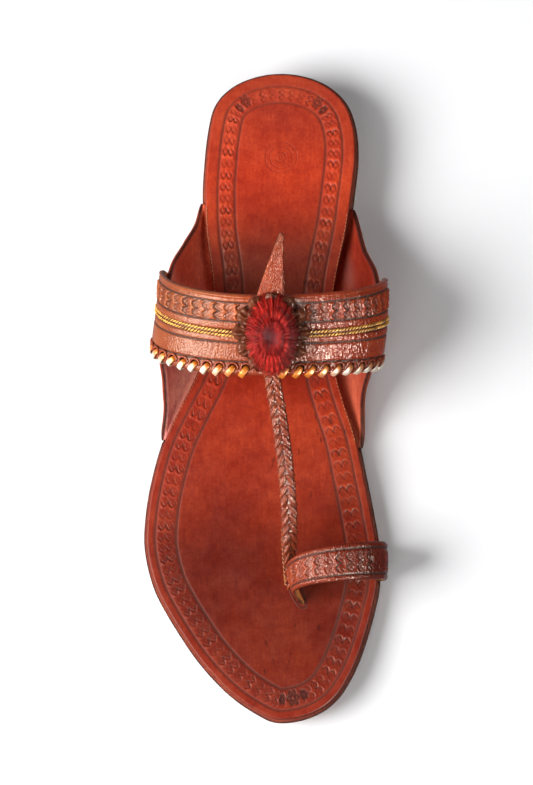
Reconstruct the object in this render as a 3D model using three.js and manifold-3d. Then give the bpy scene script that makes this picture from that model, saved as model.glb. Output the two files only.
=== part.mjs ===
// A right-foot kolhapuri sandal in vegetable-tanned leather: a stacked leather sole, a pair of side
// ears held between its layers, and an open upper of joined straps: a broad instep band, a braided
// centre strap and a big-toe loop. A scalloped rosette with a thread pompom and a pointed tab
// sit on the band's crest.
//
// Millimetres, +Z up, +X towards the inner (medial) side of the foot, +Y towards the heel.
// "Station" is the distance from the back of the heel towards the toe.

import * as THREE from "three";
import { mergeVertices } from "three/addons/utils/BufferGeometryUtils.js";
import Module from "manifold-3d";

const wasm = await Module();
wasm.setup();

// ---------------------------------------------------------------- driving dimensions

const insoleLength = 248; // a woman's EU 38 foot of about 240 mm
const insoleThickness = 3.5;
const outsoleThickness = 5;
const outsoleLip = 1.2; // how far the outsole shows past the insole all round
const layerGap = 0.3; // clearance left between any two pieces

const heelHeight = 10; // the stacked lifts under the heel seat
const heelLifts = 2;
const heelBreast = 60; // station of the lifts' front face
const heelInset = 0.8; // the lifts stand in from the outsole's edge
const ballStart = 120; // the underside is flat from here to springStart
const springStart = 196;
const toeSpring = 5; // rise of the outsole's underside at the tip

const earThickness = 2.4;
const earRoot = 9; // how far an ear runs in under the insole
const bandThickness = 2.6;
const bandCrestX = -1.2;
const toeLoopThickness = 2.2;
const centreStrapWidth = 6.6;
const centreStrapThickness = 3.2;

const rosetteHalfWidth = 12.8; // across the foot
const rosetteHalfLength = 15; // along the foot
const rosetteThickness = 1.8;
const rosetteScallops = 12;
const pompomRadius = 11;
const pompomStretch = 1.14; // how much longer it is along the foot than across
const pompomHeight = 9;
const tabThickness = 1.6;

const outsoleTop = outsoleThickness;
const insoleBottom = outsoleTop + layerGap;
const insoleTop = insoleBottom + insoleThickness;

// ---------------------------------------------------------------- small helpers

const clamp01 = (value) => Math.min(1, Math.max(0, value));
const ease = (value) => (1 - Math.cos(Math.PI * clamp01(value))) / 2;
const mix = (from, to, share) => from + (to - from) * share;
const range = (count) => Array.from({ length: count + 1 }, (_, index) => index / count);
const place = (x, station, z) => new THREE.Vector3(x, -station, z);

// Smooth interpolation of one column of a table whose rows are in order of `key`.
function column(rows, key, name) {
  return (at) => {
    let right = rows.findIndex((row) => row[key] >= at);
    if (right < 0) right = rows.length - 1;
    right = Math.max(1, right);
    const row = (index) => rows[Math.min(rows.length - 1, Math.max(0, index))];
    const [before, left, next, after] = [-2, -1, 0, 1].map((step) => row(right + step));
    const slope = (a, b) => (b[key] === a[key] ? 0 : (b[name] - a[name]) / (b[key] - a[key]));
    const span = next[key] - left[key];
    const share = clamp01((at - left[key]) / span);
    const m0 = slope(before, next) * span;
    const m1 = slope(left, after) * span;
    const s2 = share * share;
    const s3 = s2 * share;
    return (
      (2 * s3 - 3 * s2 + 1) * left[name] +
      (s3 - 2 * s2 + share) * m0 +
      (3 * s2 - 2 * s3) * next[name] +
      (s3 - s2) * m1
    );
  };
}

// ---------------------------------------------------------------- the sole's shape

// Half-widths of the insole from the straight line through heel and toe tip.
const outline = [
  { station: 3, lateral: 14.2, medial: 14.4 },
  { station: 9, lateral: 22.2, medial: 22.8 },
  { station: 20, lateral: 26.4, medial: 28.1 },
  { station: 32, lateral: 27.9, medial: 29.1 },
  { station: 46, lateral: 28.7, medial: 27.7 },
  { station: 62, lateral: 28.2, medial: 25.5 },
  { station: 80, lateral: 26.0, medial: 21.6 },
  { station: 96, lateral: 26.0, medial: 19.8 },
  { station: 115, lateral: 32.0, medial: 21.2 },
  { station: 127, lateral: 37.8, medial: 24.2 },
  { station: 140, lateral: 43.8, medial: 28.3 },
  { station: 155, lateral: 48.2, medial: 31.4 },
  { station: 170, lateral: 50.8, medial: 34.3 },
  { station: 183, lateral: 51.1, medial: 36.3 },
  { station: 198, lateral: 47.4, medial: 36.2 },
  { station: 207, lateral: 42.8, medial: 34.3 },
  { station: 216, lateral: 37.2, medial: 31.8 },
  { station: 225, lateral: 30.9, medial: 28.7 },
  { station: 234, lateral: 22.9, medial: 24.3 },
  { station: 239, lateral: 17.4, medial: 20.9 },
  { station: 243, lateral: 11.8, medial: 16.5 },
  { station: 246, lateral: 6.6, medial: 10.8 },
];

// Near its ends an outline closes like a circle, so the table is interpolated as the share of
// sqrt(station * (length - station)), which is smooth there.
const roundness = (station) => Math.sqrt(Math.max(0, station * (insoleLength - station)));
const shares = outline.map(({ station, lateral, medial }) => ({
  station,
  lateral: lateral / roundness(station),
  medial: medial / roundness(station),
}));
const shareOf = {
  lateral: column(shares, "station", "lateral"),
  medial: column(shares, "station", "medial"),
};

// Half-width of the insole on a side, with the station held inside the insole.
function halfWidth(side, station) {
  const inside = Math.min(insoleLength, Math.max(0, station));
  return shareOf[side](inside) * roundness(inside);
}

const sign = { lateral: -1, medial: 1 };
const insoleEdge = (side, station) => sign[side] * halfWidth(side, station);

// Height of the outsole's underside above the floor: heel seat, arch, flat ball and toe spring.
function lift(station) {
  if (station > springStart) {
    const share = (station - springStart) / (insoleLength - springStart);
    return toeSpring * share * share;
  }
  return heelHeight * (1 - ease((station - heelBreast) / (ballStart - heelBreast)));
}

// ---------------------------------------------------------------- closed meshes

// A closed sheet from two grids of points of the same size, the first above the second.
function closedSheet(above, below) {
  const rows = above.length;
  const columns = above[0].length;
  const positions = [...above.flat(), ...below.flat()].flatMap((point) => point.toArray());
  const top = (i, j) => i * columns + j;
  const bottom = (i, j) => rows * columns + top(i, j);
  const faces = [];
  const quad = (a, b, c, d) => faces.push(a, b, c, a, c, d);
  for (let i = 0; i < rows - 1; i++) {
    for (let j = 0; j < columns - 1; j++) {
      quad(top(i, j), top(i + 1, j), top(i + 1, j + 1), top(i, j + 1));
      quad(bottom(i, j), bottom(i, j + 1), bottom(i + 1, j + 1), bottom(i + 1, j));
    }
    const last = columns - 1;
    quad(top(i, 0), bottom(i, 0), bottom(i + 1, 0), top(i + 1, 0));
    quad(top(i, last), top(i + 1, last), bottom(i + 1, last), bottom(i, last));
  }
  for (let j = 0; j < columns - 1; j++) {
    const last = rows - 1;
    quad(top(0, j), top(0, j + 1), bottom(0, j + 1), bottom(0, j));
    quad(top(last, j), bottom(last, j), bottom(last, j + 1), top(last, j + 1));
  }
  const geometry = new THREE.BufferGeometry();
  geometry.setAttribute("position", new THREE.Float32BufferAttribute(positions, 3));
  geometry.setIndex(faces);
  return geometry;
}

// Turns a closed geometry into a solid that can be joined and cut, with its faces pointing out.
function solid(geometry) {
  const bare = new THREE.BufferGeometry();
  bare.setAttribute("position", geometry.getAttribute("position"));
  if (geometry.index) bare.setIndex(geometry.index);
  const merged = mergeVertices(bare, 1e-4);
  const vertProperties = new Float32Array(merged.attributes.position.array);
  const triVerts = new Uint32Array(merged.index.array);
  const made = new wasm.Manifold(new wasm.Mesh({ numProp: 3, vertProperties, triVerts }));
  if (made.volume() > 0) return made;
  for (let i = 0; i < triVerts.length; i += 3) {
    [triVerts[i + 1], triVerts[i + 2]] = [triVerts[i + 2], triVerts[i + 1]];
  }
  return new wasm.Manifold(new wasm.Mesh({ numProp: 3, vertProperties, triVerts }));
}

// The geometry of a joined or cut solid.
function geometryOf(manifold) {
  const { vertProperties, triVerts, numProp, numVert } = manifold.getMesh();
  const positions = new Float32Array(numVert * 3);
  for (let i = 0; i < numVert; i++) {
    positions.set(vertProperties.subarray(i * numProp, i * numProp + 3), i * 3);
  }
  const geometry = new THREE.BufferGeometry();
  geometry.setAttribute("position", new THREE.BufferAttribute(positions, 3));
  geometry.setIndex(new THREE.BufferAttribute(new Uint32Array(triVerts), 1));
  return geometry;
}

// A leather piece of even thickness about a mid-surface surface(u, v), u and v from 0 to 1.
function leather(surface, thickness, alongSteps, acrossSteps) {
  const nudge = 1e-3;
  const normalAt = (u, v) => {
    const [u0, u1] = [Math.max(0, u - nudge), Math.min(1, u + nudge)];
    const [v0, v1] = [Math.max(0, v - nudge), Math.min(1, v + nudge)];
    const along = surface(u1, v).sub(surface(u0, v));
    const across = surface(u, v1).sub(surface(u, v0));
    return along.cross(across).normalize();
  };
  const side = (half) =>
    range(alongSteps).map((u) =>
      range(acrossSteps).map((v) => surface(u, v).addScaledVector(normalAt(u, v), half)),
    );
  return solid(closedSheet(side(thickness / 2), side(-thickness / 2)));
}

// ---------------------------------------------------------------- sole layers

// A layer of the sole between two heights above lift(station), grown past the insole's outline.
function soleLayer(low, high, grow, from = 0, to = insoleLength, steps = 40, flatBottom = false) {
  const firstShare = from > 0 ? 0 : 0.02; // a sliver in from the end, where the outline has width
  const lastShare = to < insoleLength ? 1 : 0.98;
  const stations = range(steps).map((share) => {
    const turn = mix(firstShare, lastShare, share);
    return from > 0 || to < insoleLength
      ? mix(from, to, share)
      : insoleLength * ease(turn);
  });
  const columns = 2;
  const grid = (height) =>
    stations.map((station) => {
      const stretched = mix(-grow, insoleLength + grow, station / insoleLength);
      const left = insoleEdge("lateral", station) - grow;
      const right = insoleEdge("medial", station) + grow;
      const floor = flatBottom ? 0 : lift(station);
      return range(columns).map((share) =>
        place(mix(left, right, share), stretched, floor + height),
      );
    });
  return solid(closedSheet(grid(high), grid(low)));
}

// One flat lift of the heel: the outsole's own outline behind the breast, with a square front.
function heelLift(low, high) {
  const turns = range(16).map((share) => heelBreast * (1 - Math.cos((Math.PI / 2) * mix(0.06, 1, share))));
  const grow = outsoleLip - heelInset;
  const grid = (height) =>
    turns.map((station) => {
      const left = insoleEdge("lateral", station) - grow;
      const right = insoleEdge("medial", station) + grow;
      return range(4).map((share) => place(mix(left, right, share), station - grow, height));
    });
  return solid(closedSheet(grid(high), grid(low)));
}

// ---------------------------------------------------------------- side ears

// Where each ear stands along the sole, and the shape of its free edge: how far it reaches out
// from the insole's edge and how high it rises over the outsole, from rear tip to front tip.
const earSpan = { lateral: [50, 141], medial: [53, 144.5] };
const earEdge = [
  { share: 0.0, lateral: 1.6, medial: 1.6, rise: 0.4 },
  { share: 0.1, lateral: 3.4, medial: 4.8, rise: 5 },
  { share: 0.2, lateral: 8.2, medial: 8.8, rise: 12 },
  { share: 0.3, lateral: 13.6, medial: 14.6, rise: 19 },
  { share: 0.4, lateral: 15.8, medial: 17.2, rise: 24 },
  { share: 0.55, lateral: 16.0, medial: 16.8, rise: 26 },
  { share: 0.68, lateral: 13.6, medial: 13.4, rise: 21.5 },
  { share: 0.78, lateral: 9.2, medial: 8.2, rise: 13 },
  { share: 0.88, lateral: 4.8, medial: 4.8, rise: 5.5 },
  { share: 1.0, lateral: 1.6, medial: 1.6, rise: 0.4 },
];
const earReach = {
  lateral: column(earEdge, "share", "lateral"),
  medial: column(earEdge, "share", "medial"),
};
const earRise = column(earEdge, "share", "rise");

// A point of an ear's mid-surface: climb runs from -1 at the root under the insole, through 0 at
// the insole's edge, to 1 at the free edge, which stands upright.
function earPoint(side, station, climb, push = 0) {
  const [rear, front] = earSpan[side];
  const share = clamp01((station - rear) / (front - rear));
  const reach = earReach[side](share);
  const rise = earRise(share);
  const base = lift(station) + outsoleTop - earThickness / 2;
  const edge = insoleEdge(side, station);
  if (climb <= 0) {
    return place(edge + sign[side] * climb * earRoot, station, base - push);
  }
  const bend = (t) => {
    const [a, b, c, d] = [(1 - t) ** 3, 3 * t * (1 - t) ** 2, 3 * t * t * (1 - t), t ** 3];
    return [a * 0 + b * 0.62 * reach + c * reach + d * reach, c * 0.42 * rise + d * rise];
  };
  const [out, up] = bend(climb);
  const [outNext, upNext] = bend(Math.min(1, climb + 1e-3));
  const [outLast, upLast] = bend(Math.max(0, climb - 1e-3));
  const [tx, tz] = [outNext - outLast, upNext - upLast];
  const length = Math.hypot(tx, tz);
  return place(
    edge + sign[side] * (out + (push * tz) / length),
    station,
    base + up - (push * tx) / length,
  );
}

function ear(side, thickness = earThickness) {
  const [rear, front] = earSpan[side];
  const surface = (u, v) => earPoint(side, mix(rear, front, u), mix(-1, 1, v));
  return leather(surface, thickness, 26, 10);
}

// ---------------------------------------------------------------- instep band

// The band's two edges. The ends sit on the outside of the ears, the crest leans forward.
const bandEdges = {
  toe: { lateralEnd: 110.2, medialEnd: 116.6, crest: 123.5, crestRise: 41 },
  heel: { lateralEnd: 79.8, medialEnd: 83.4, crest: 95.5, crestRise: 49.5 },
};
const bandDrop = 0.34; // climb on the ear where the band's ends stop
const bandEndLean = 2.5; // forward lean of the band's width along the ears
const earToBand = (earThickness + bandThickness) / 2 + layerGap;

// A point of the band's mid-surface: along runs from 0 at the lateral end to 1 at the medial end,
// across from 0 at the toe-side edge to 1 at the heel-side edge.
function bandPoint(along, across) {
  const side = along < 0.5 ? "lateral" : "medial";
  const fromEnd = along < 0.5 ? along * 2 : (1 - along) * 2;
  const { toe, heel } = bandEdges;
  const endStation = mix(toe[side + "End"], heel[side + "End"], across);
  const crestStation = mix(toe.crest, heel.crest, across);
  const crest = lift(crestStation) + insoleTop + mix(toe.crestRise, heel.crestRise, across);
  const onEar = 0.24; // share of each half that lies along the ear
  if (fromEnd < onEar) {
    const climb = mix(bandDrop, 1, fromEnd / onEar);
    return earPoint(side, endStation - bandEndLean * (1 - climb), climb, earToBand);
  }
  const top = earPoint(side, endStation, 1, earToBand);
  const turn = ((fromEnd - onEar) / (1 - onEar)) * (Math.PI / 2);
  return new THREE.Vector3(
    mix(top.x, bandCrestX, 1 - Math.cos(turn)),
    mix(top.y, -crestStation, Math.sin(turn)),
    mix(top.z, crest, Math.sin(turn)),
  );
}

const bandSteps = { along: 46, across: 5 };
const instepBand = leather(bandPoint, bandThickness, bandSteps.along, bandSteps.across);

// A point at a distance above the band's mid-surface near its crest, for the pieces that sit on it.
function overBand(along, across, distance) {
  const nudge = 1e-3;
  const u = bandPoint(along + nudge, across).sub(bandPoint(along - nudge, across));
  const v = bandPoint(along, across + nudge).sub(bandPoint(along, across - nudge));
  const normal = u.cross(v).normalize();
  if (normal.z < 0) normal.negate();
  return { point: bandPoint(along, across).addScaledVector(normal, distance), normal };
}

// ---------------------------------------------------------------- big-toe loop

// The loop's two edges from the slit between the toes, over the big toe and down round the
// insole's medial edge into the seam. Heights are above the outsole.
const loopPath = [
  { share: -0.02, toeX: 9.9, toeStation: 206.6, heelX: 4.7, heelStation: 196.8, height: -1.9 },
  { share: 0.0, toeX: 9.7, toeStation: 206.3, heelX: 4.5, heelStation: 196.4, height: -1.2 },
  { share: 0.12, toeX: 6.8, toeStation: 203.2, heelX: 2.9, heelStation: 192.6, height: 9.5 },
  { share: 0.25, toeX: 5.9, toeStation: 200.8, heelX: 4.0, heelStation: 189.2, height: 19 },
  { share: 0.37, toeX: 11.6, toeStation: 199.2, heelX: 10.2, heelStation: 186.6, height: 26.5 },
  { share: 0.49, toeX: 21.4, toeStation: 198.2, heelX: 21.2, heelStation: 184.6, height: 29.6 },
  { share: 0.6, toeX: 31.4, toeStation: 197.2, heelX: 31.6, heelStation: 183.2, height: 26.4 },
  { share: 0.69, toeX: 37.6, toeStation: 196.4, heelX: 37.9, heelStation: 182.2, height: 18.6 },
  { share: 0.77, toeX: 39.2, toeStation: 195.8, heelX: 39.3, heelStation: 181.6, height: 9 },
  { share: 0.83, toeX: 39.3, toeStation: 195.6, heelX: 39.3, heelStation: 181.4, height: 3 },
  { share: 0.87, toeX: 38.7, toeStation: 195.5, heelX: 38.7, heelStation: 181.4, height: 0.6 },
  { share: 0.91, toeX: 37.3, toeStation: 195.5, heelX: 37.3, heelStation: 181.4, height: -1.1 },
  { share: 0.93, toeX: 35.6, toeStation: 195.4, heelX: 35.6, heelStation: 181.4, height: -1.1 },
  { share: 1.0, toeX: 29.5, toeStation: 195.4, heelX: 29.5, heelStation: 181.4, height: -1.1 },
];
const loopColumn = Object.fromEntries(
  ["toeX", "toeStation", "heelX", "heelStation", "height"].map((name) => [
    name,
    column(loopPath, "share", name),
  ]),
);

function loopPoint(along, across) {
  return place(
    mix(loopColumn.toeX(along), loopColumn.heelX(along), across),
    mix(loopColumn.toeStation(along), loopColumn.heelStation(along), across),
    outsoleTop + loopColumn.height(along),
  );
}

const loopTuck = [181.4, 195.4]; // stations of the loop's inner end, tucked into the seam
const loopTuckDepth = 7;
const toeLoop = leather(loopPoint, toeLoopThickness, 40, 3);

// ---------------------------------------------------------------- centre strap

// The braided strap's middle line, from under the band's toe-side edge to the toe loop's outer
// face, with the turn of its width about its own line. Heights are above the insole.
const centreStrapPath = [
  { share: 0.0, x: -2.2, station: 118, height: 42.6, turn: 0 },
  { share: 0.1, x: -1.3, station: 126, height: 39.4, turn: 0 },
  { share: 0.3, x: 1.2, station: 142, height: 34.0, turn: 0 },
  { share: 0.5, x: 3.0, station: 158, height: 28.2, turn: 4 },
  { share: 0.7, x: 3.9, station: 174, height: 21.0, turn: 12 },
  { share: 0.85, x: 3.6, station: 186, height: 13.6, turn: 40 },
  { share: 1.0, x: 3.5, station: 196, height: 5.4, turn: 62 },
];
const strapColumn = Object.fromEntries(
  ["x", "station", "height", "turn"].map((name) => [name, column(centreStrapPath, "share", name)]),
);

function centreStrapLine(along) {
  return place(strapColumn.x(along), strapColumn.station(along), insoleTop + strapColumn.height(along));
}

// A flat strip about the middle line, turned about it as the table says.
function centreStrapPoint(along, across) {
  const nudge = 1e-3;
  const ahead = centreStrapLine(Math.min(1, along + nudge));
  const tangent = ahead.sub(centreStrapLine(Math.max(0, along - nudge))).normalize();
  const level = new THREE.Vector3(0, 0, 1).cross(tangent).normalize();
  const width = level.applyAxisAngle(tangent, THREE.MathUtils.degToRad(-strapColumn.turn(along)));
  return centreStrapLine(along).addScaledVector(width, centreStrapWidth * (across - 0.5));
}

const centreStrap = leather(centreStrapPoint, centreStrapThickness, 26, 2);

// ---------------------------------------------------------------- rosette, pompom and tab

const crestAcross = 0.57; // where the rosette is centred across the band
const bandHalfLength = bandPoint(0.5 - 0.05, crestAcross).distanceTo(bandPoint(0.5 + 0.05, crestAcross)) / 0.1;
const bandWidth = bandPoint(0.5, 0).distanceTo(bandPoint(0.5, 1));

// The scalloped disc follows the band's own surface, clear of the tab that lies under it.
function rosette() {
  const rest = bandThickness / 2 + layerGap + tabThickness + layerGap;
  const rings = 3;
  const spokes = rosetteScallops * 6;
  const surfaceAt = (radiusShare, angle, height) => {
    const scallop = 1 + 0.06 * Math.cos(rosetteScallops * angle) * radiusShare;
    const reach = radiusShare * scallop;
    const along = 0.5 + (rosetteHalfWidth * reach * Math.cos(angle)) / bandHalfLength;
    const across = crestAcross + (rosetteHalfLength * reach * Math.sin(angle)) / bandWidth;
    return overBand(along, across, height).point;
  };
  const positions = [];
  const faces = [];
  for (const height of [rest + rosetteThickness, rest]) {
    positions.push(surfaceAt(0, 0, height));
    for (let ring = 1; ring <= rings; ring++) {
      for (let spoke = 0; spoke < spokes; spoke++) {
        positions.push(surfaceAt(ring / rings, (spoke / spokes) * 2 * Math.PI, height));
      }
    }
  }
  const layer = 1 + rings * spokes;
  const at = (side, ring, spoke) =>
    side * layer + (ring === 0 ? 0 : 1 + (ring - 1) * spokes + (spoke % spokes));
  for (let spoke = 0; spoke < spokes; spoke++) {
    faces.push(at(0, 0, 0), at(0, 1, spoke), at(0, 1, spoke + 1));
    faces.push(at(1, 0, 0), at(1, 1, spoke + 1), at(1, 1, spoke));
    for (let ring = 1; ring < rings; ring++) {
      const corners = (side) => [
        at(side, ring, spoke),
        at(side, ring + 1, spoke),
        at(side, ring + 1, spoke + 1),
        at(side, ring, spoke + 1),
      ];
      const [a, b, c, d] = corners(0);
      const [e, f, g, h] = corners(1);
      faces.push(a, b, c, a, c, d, e, g, f, e, h, g);
    }
    const [a, b] = [at(0, rings, spoke), at(0, rings, spoke + 1)];
    const [c, d] = [at(1, rings, spoke + 1), at(1, rings, spoke)];
    faces.push(a, d, c, a, c, b);
  }
  const geometry = new THREE.BufferGeometry();
  const flat = positions.flatMap((point) => point.toArray());
  geometry.setAttribute("position", new THREE.Float32BufferAttribute(flat, 3));
  geometry.setIndex(faces);
  return geometryOf(solid(geometry));
}

// The pompom's closed outer form: a flattened dome with a dimple where the threads are tied.
function pompomGeometry() {
  const profile = [new THREE.Vector2(0, 0)];
  for (const share of range(10)) {
    const angle = mix(-0.35, 0.5, share) * Math.PI;
    const radius = pompomRadius * Math.cos(angle) ** 0.8;
    const dimple = 1.4 * Math.exp(-((radius / 3) ** 2));
    const height = (pompomHeight * (Math.sin(angle) + Math.sin(0.35 * Math.PI))) / 1.89 - dimple;
    profile.push(new THREE.Vector2(share === 1 ? 0 : radius, Math.max(0, height)));
  }
  return new THREE.LatheGeometry(profile, 28).scale(1, 1, pompomStretch);
}

// The pointed tab: flat on the band under the rosette, then rising past the band's heel-side edge.
const tabRows = [
  { share: 0.0, ahead: 13, x: -2.4, over: 0, half: 5.2 },
  { share: 0.3, ahead: 4, x: -2.0, over: 0, half: 5.2 },
  { share: 0.42, ahead: 0, x: -1.6, over: 0, half: 5.0 },
  { share: 0.75, ahead: -11, x: 0.4, over: 2.2, half: 2.9 },
  { share: 1.0, ahead: -21, x: 3.0, over: 5.5, half: 0.7 },
];
const tabColumn = Object.fromEntries(
  ["ahead", "x", "over", "half"].map((name) => [name, column(tabRows, "share", name)]),
);

function tabPoint(along, across) {
  const ahead = tabColumn.ahead(along);
  const { heel, toe } = bandEdges;
  const acrossBand = 1 - ahead / (toe.crest - heel.crest);
  const held = Math.min(1, acrossBand);
  const x = tabColumn.x(along) + tabColumn.half(along) * (2 * across - 1);
  const side = (x - bandCrestX) / bandHalfLength;
  const distance = bandThickness / 2 + layerGap + tabThickness / 2;
  const onBand = overBand(0.5 + side, held, distance).point;
  const past = Math.max(0, acrossBand - 1) * (toe.crest - heel.crest);
  return onBand.add(new THREE.Vector3(0, past, tabColumn.over(along) + past * 0.28));
}

// ---------------------------------------------------------------- assembly

// Room for a strap or an ear where it passes a layer of the sole. It is a little less than two
// gaps thicker than the piece, so no face of it lies in the insole's own underside.
const gapAround = 0.5;
const loopRoom = (from, to) =>
  leather(
    (along, across) => loopPoint(mix(from, to, along), mix(-0.03, 1.03, across)),
    toeLoopThickness + gapAround,
    30,
    3,
  );

// A pocket in the outsole's top, open upwards and out past the edge, for a layer tucked into it.
function pocket(side, rear, front, depth, reachIn) {
  const endRoom = 0.7;
  const grid = (height) =>
    range(14).map((share) => {
      const station = mix(rear - endRoom, front + endRoom, share);
      const edge = insoleEdge(side, station);
      const [inner, outer] = [edge - sign[side] * (reachIn + layerGap), edge + sign[side] * 6];
      return range(1).map((step) => place(mix(inner, outer, step), station, lift(station) + height));
    });
  return solid(closedSheet(grid(outsoleTop + 4), grid(outsoleTop - depth - layerGap)));
}

function earRoom(side) {
  const [rear, front] = earSpan[side];
  const surface = (u, v) =>
    earPoint(side, mix(rear - layerGap, front + layerGap, u), mix(-1, 1, v));
  return leather(surface, earThickness + gapAround, 26, 10);
}

const outsole = soleLayer(0, outsoleTop, outsoleLip)
  .subtract(pocket("lateral", ...earSpan.lateral, earThickness, earRoot))
  .subtract(pocket("medial", ...earSpan.medial, earThickness, earRoot))
  .subtract(pocket("medial", ...loopTuck, toeLoopThickness, loopTuckDepth))
  .subtract(loopRoom(-0.02, 0.1));
const insole = soleLayer(insoleBottom, insoleTop, 0)
  .subtract(earRoom("lateral"))
  .subtract(earRoom("medial"))
  .subtract(loopRoom(-0.02, 1));
const upper = instepBand.add(centreStrap).add(toeLoop);

const tan = { roughness: 0.45, metalness: 0 };
const finish = {
  insole: { color: 0xa83c22, ...tan },
  outsole: { color: 0x6a3a30, roughness: 0.6, metalness: 0 },
  heel: { color: 0x5a2f26, roughness: 0.6, metalness: 0 },
  strap: { color: 0xa04a2c, ...tan },
  ear: { color: 0x94392a, ...tan },
  rosette: { color: 0x5c2d1e, roughness: 0.55, metalness: 0 },
  thread: { color: 0xa02622, roughness: 0.85, metalness: 0 },
};

const sandal = new THREE.Group();
function piece(name, geometry, material) {
  const mesh = new THREE.Mesh(geometry, new THREE.MeshStandardMaterial(material));
  mesh.name = name;
  sandal.add(mesh);
  return mesh;
}

piece("outsole", geometryOf(outsole), finish.outsole);
piece("insole", geometryOf(insole), finish.insole);
const liftPitch = heelHeight / heelLifts;
for (let index = 0; index < heelLifts; index++) {
  const low = index * liftPitch;
  const made = heelLift(low, low + liftPitch - layerGap);
  piece(`heel_lift_${index + 1}`, geometryOf(made), finish.heel);
}
piece("ear_lateral", geometryOf(ear("lateral")), finish.ear);
piece("ear_medial", geometryOf(ear("medial")), finish.ear);
piece("upper", geometryOf(upper), finish.strap);
piece("tab", geometryOf(leather(tabPoint, tabThickness, 16, 2)), finish.strap);
piece("rosette", rosette(), finish.rosette);

const seat = overBand(
  0.5,
  crestAcross,
  bandThickness / 2 + 3 * layerGap + tabThickness + rosetteThickness,
);
const pompom = piece("pompom", pompomGeometry(), finish.thread);
pompom.position.copy(seat.point);
pompom.quaternion.setFromUnitVectors(new THREE.Vector3(0, 1, 0), seat.normal);

// The origin is on the floor under the middle of the sandal's box.
const box = new THREE.Box3().setFromObject(sandal);
const middle = box.getCenter(new THREE.Vector3());
sandal.position.set(-middle.x, -middle.y, -box.min.z);

export default sandal;
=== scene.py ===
# %% [markdown]
# # A kolhapuri sandal
# A kolhapuri is a flat sandal of vegetable-tanned buffalo leather, made and dyed by hand. This file
# dresses the right sandal of a pair. The solids of its sole, ears and straps come first, as a fixed
# frame. Around them this lesson makes the tooling, the gold cord, the lacing, the braid, the pompom
# and the finish of every piece.

# %% Load the frame
import math
from types import SimpleNamespace

import bmesh
import bpy
import numpy as np
from mathutils import Matrix, Vector


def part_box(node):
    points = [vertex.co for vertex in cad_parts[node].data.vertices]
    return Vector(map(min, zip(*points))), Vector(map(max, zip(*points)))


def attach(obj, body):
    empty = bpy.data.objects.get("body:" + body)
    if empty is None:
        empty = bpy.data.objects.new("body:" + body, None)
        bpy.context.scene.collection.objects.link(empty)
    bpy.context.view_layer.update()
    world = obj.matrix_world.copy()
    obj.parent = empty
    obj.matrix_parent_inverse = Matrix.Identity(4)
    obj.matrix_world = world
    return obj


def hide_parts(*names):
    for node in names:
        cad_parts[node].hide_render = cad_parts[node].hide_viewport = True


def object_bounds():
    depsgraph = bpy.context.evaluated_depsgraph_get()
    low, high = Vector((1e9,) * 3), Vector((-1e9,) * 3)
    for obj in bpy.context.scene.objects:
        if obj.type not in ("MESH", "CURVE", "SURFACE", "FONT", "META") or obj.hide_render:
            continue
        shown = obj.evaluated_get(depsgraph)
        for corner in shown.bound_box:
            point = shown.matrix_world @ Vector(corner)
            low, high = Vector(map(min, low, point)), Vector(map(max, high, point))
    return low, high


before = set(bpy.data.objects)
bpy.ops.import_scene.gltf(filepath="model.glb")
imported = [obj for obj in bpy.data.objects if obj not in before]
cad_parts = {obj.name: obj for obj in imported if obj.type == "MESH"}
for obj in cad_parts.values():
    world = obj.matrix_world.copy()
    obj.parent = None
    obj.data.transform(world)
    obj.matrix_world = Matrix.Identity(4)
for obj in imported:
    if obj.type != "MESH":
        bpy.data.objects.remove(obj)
cad_low, cad_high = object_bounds()
print("frame, mm:", [round((b - a) * 1000, 1) for a, b in zip(cad_low, cad_high)])

# %% [markdown]
# ## Measures of the sandal
# Lengths are in millimetres here and become metres only when a mesh is made. A "station" is the
# distance from the back of the heel towards the toe, and x runs from the outer (lateral) side of the
# foot to the inner (medial) one. Each table has one row per section, in order.

# %% Measures and tables
INSOLE_LENGTH = 248.0
INSOLE_THICK = 3.5
OUTSOLE_THICK = 5.0
OUTSOLE_LIP = 1.2
LAYER_GAP = 0.3
HEEL_HEIGHT = 10.0
HEEL_BREAST = 60.0
BALL_START = 120.0
SPRING_START = 196.0
TOE_SPRING = 5.0
EAR_THICK = 2.4
EAR_ROOT = 9.0
BAND_THICK = 2.6
LOOP_THICK = 2.2
STRAP_WIDTH = 6.6
TAB_THICK = 1.6
INSOLE_TOP = OUTSOLE_THICK + LAYER_GAP + INSOLE_THICK

# Half-widths of the insole: station, lateral, medial.
OUTLINE = np.array([
    (3, 14.2, 14.4), (9, 22.2, 22.8), (20, 26.4, 28.1), (32, 27.9, 29.1), (46, 28.7, 27.7),
    (62, 28.2, 25.5), (80, 26.0, 21.6), (96, 26.0, 19.8), (115, 32.0, 21.2), (127, 37.8, 24.2),
    (140, 43.8, 28.3), (155, 48.2, 31.4), (170, 50.8, 34.3), (183, 51.1, 36.3),
    (198, 47.4, 36.2), (207, 42.8, 34.3), (216, 37.2, 31.8), (225, 30.9, 28.7),
    (234, 22.9, 24.3), (239, 17.4, 20.9), (243, 11.8, 16.5), (246, 6.6, 10.8),
], float)

# The ears' free edge: share along the ear, reach past the insole lateral and medial, rise.
EAR_SPAN = {"lateral": (50.0, 141.0), "medial": (53.0, 144.5)}
EAR_EDGE = np.array([
    (0.0, 1.6, 1.6, 0.4), (0.1, 3.4, 4.8, 5), (0.2, 8.2, 8.8, 12), (0.3, 13.6, 14.6, 19),
    (0.4, 15.8, 17.2, 24), (0.55, 16.0, 16.8, 26), (0.68, 13.6, 13.4, 21.5),
    (0.78, 9.2, 8.2, 13), (0.88, 4.8, 4.8, 5.5), (1.0, 1.6, 1.6, 0.4),
], float)

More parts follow.
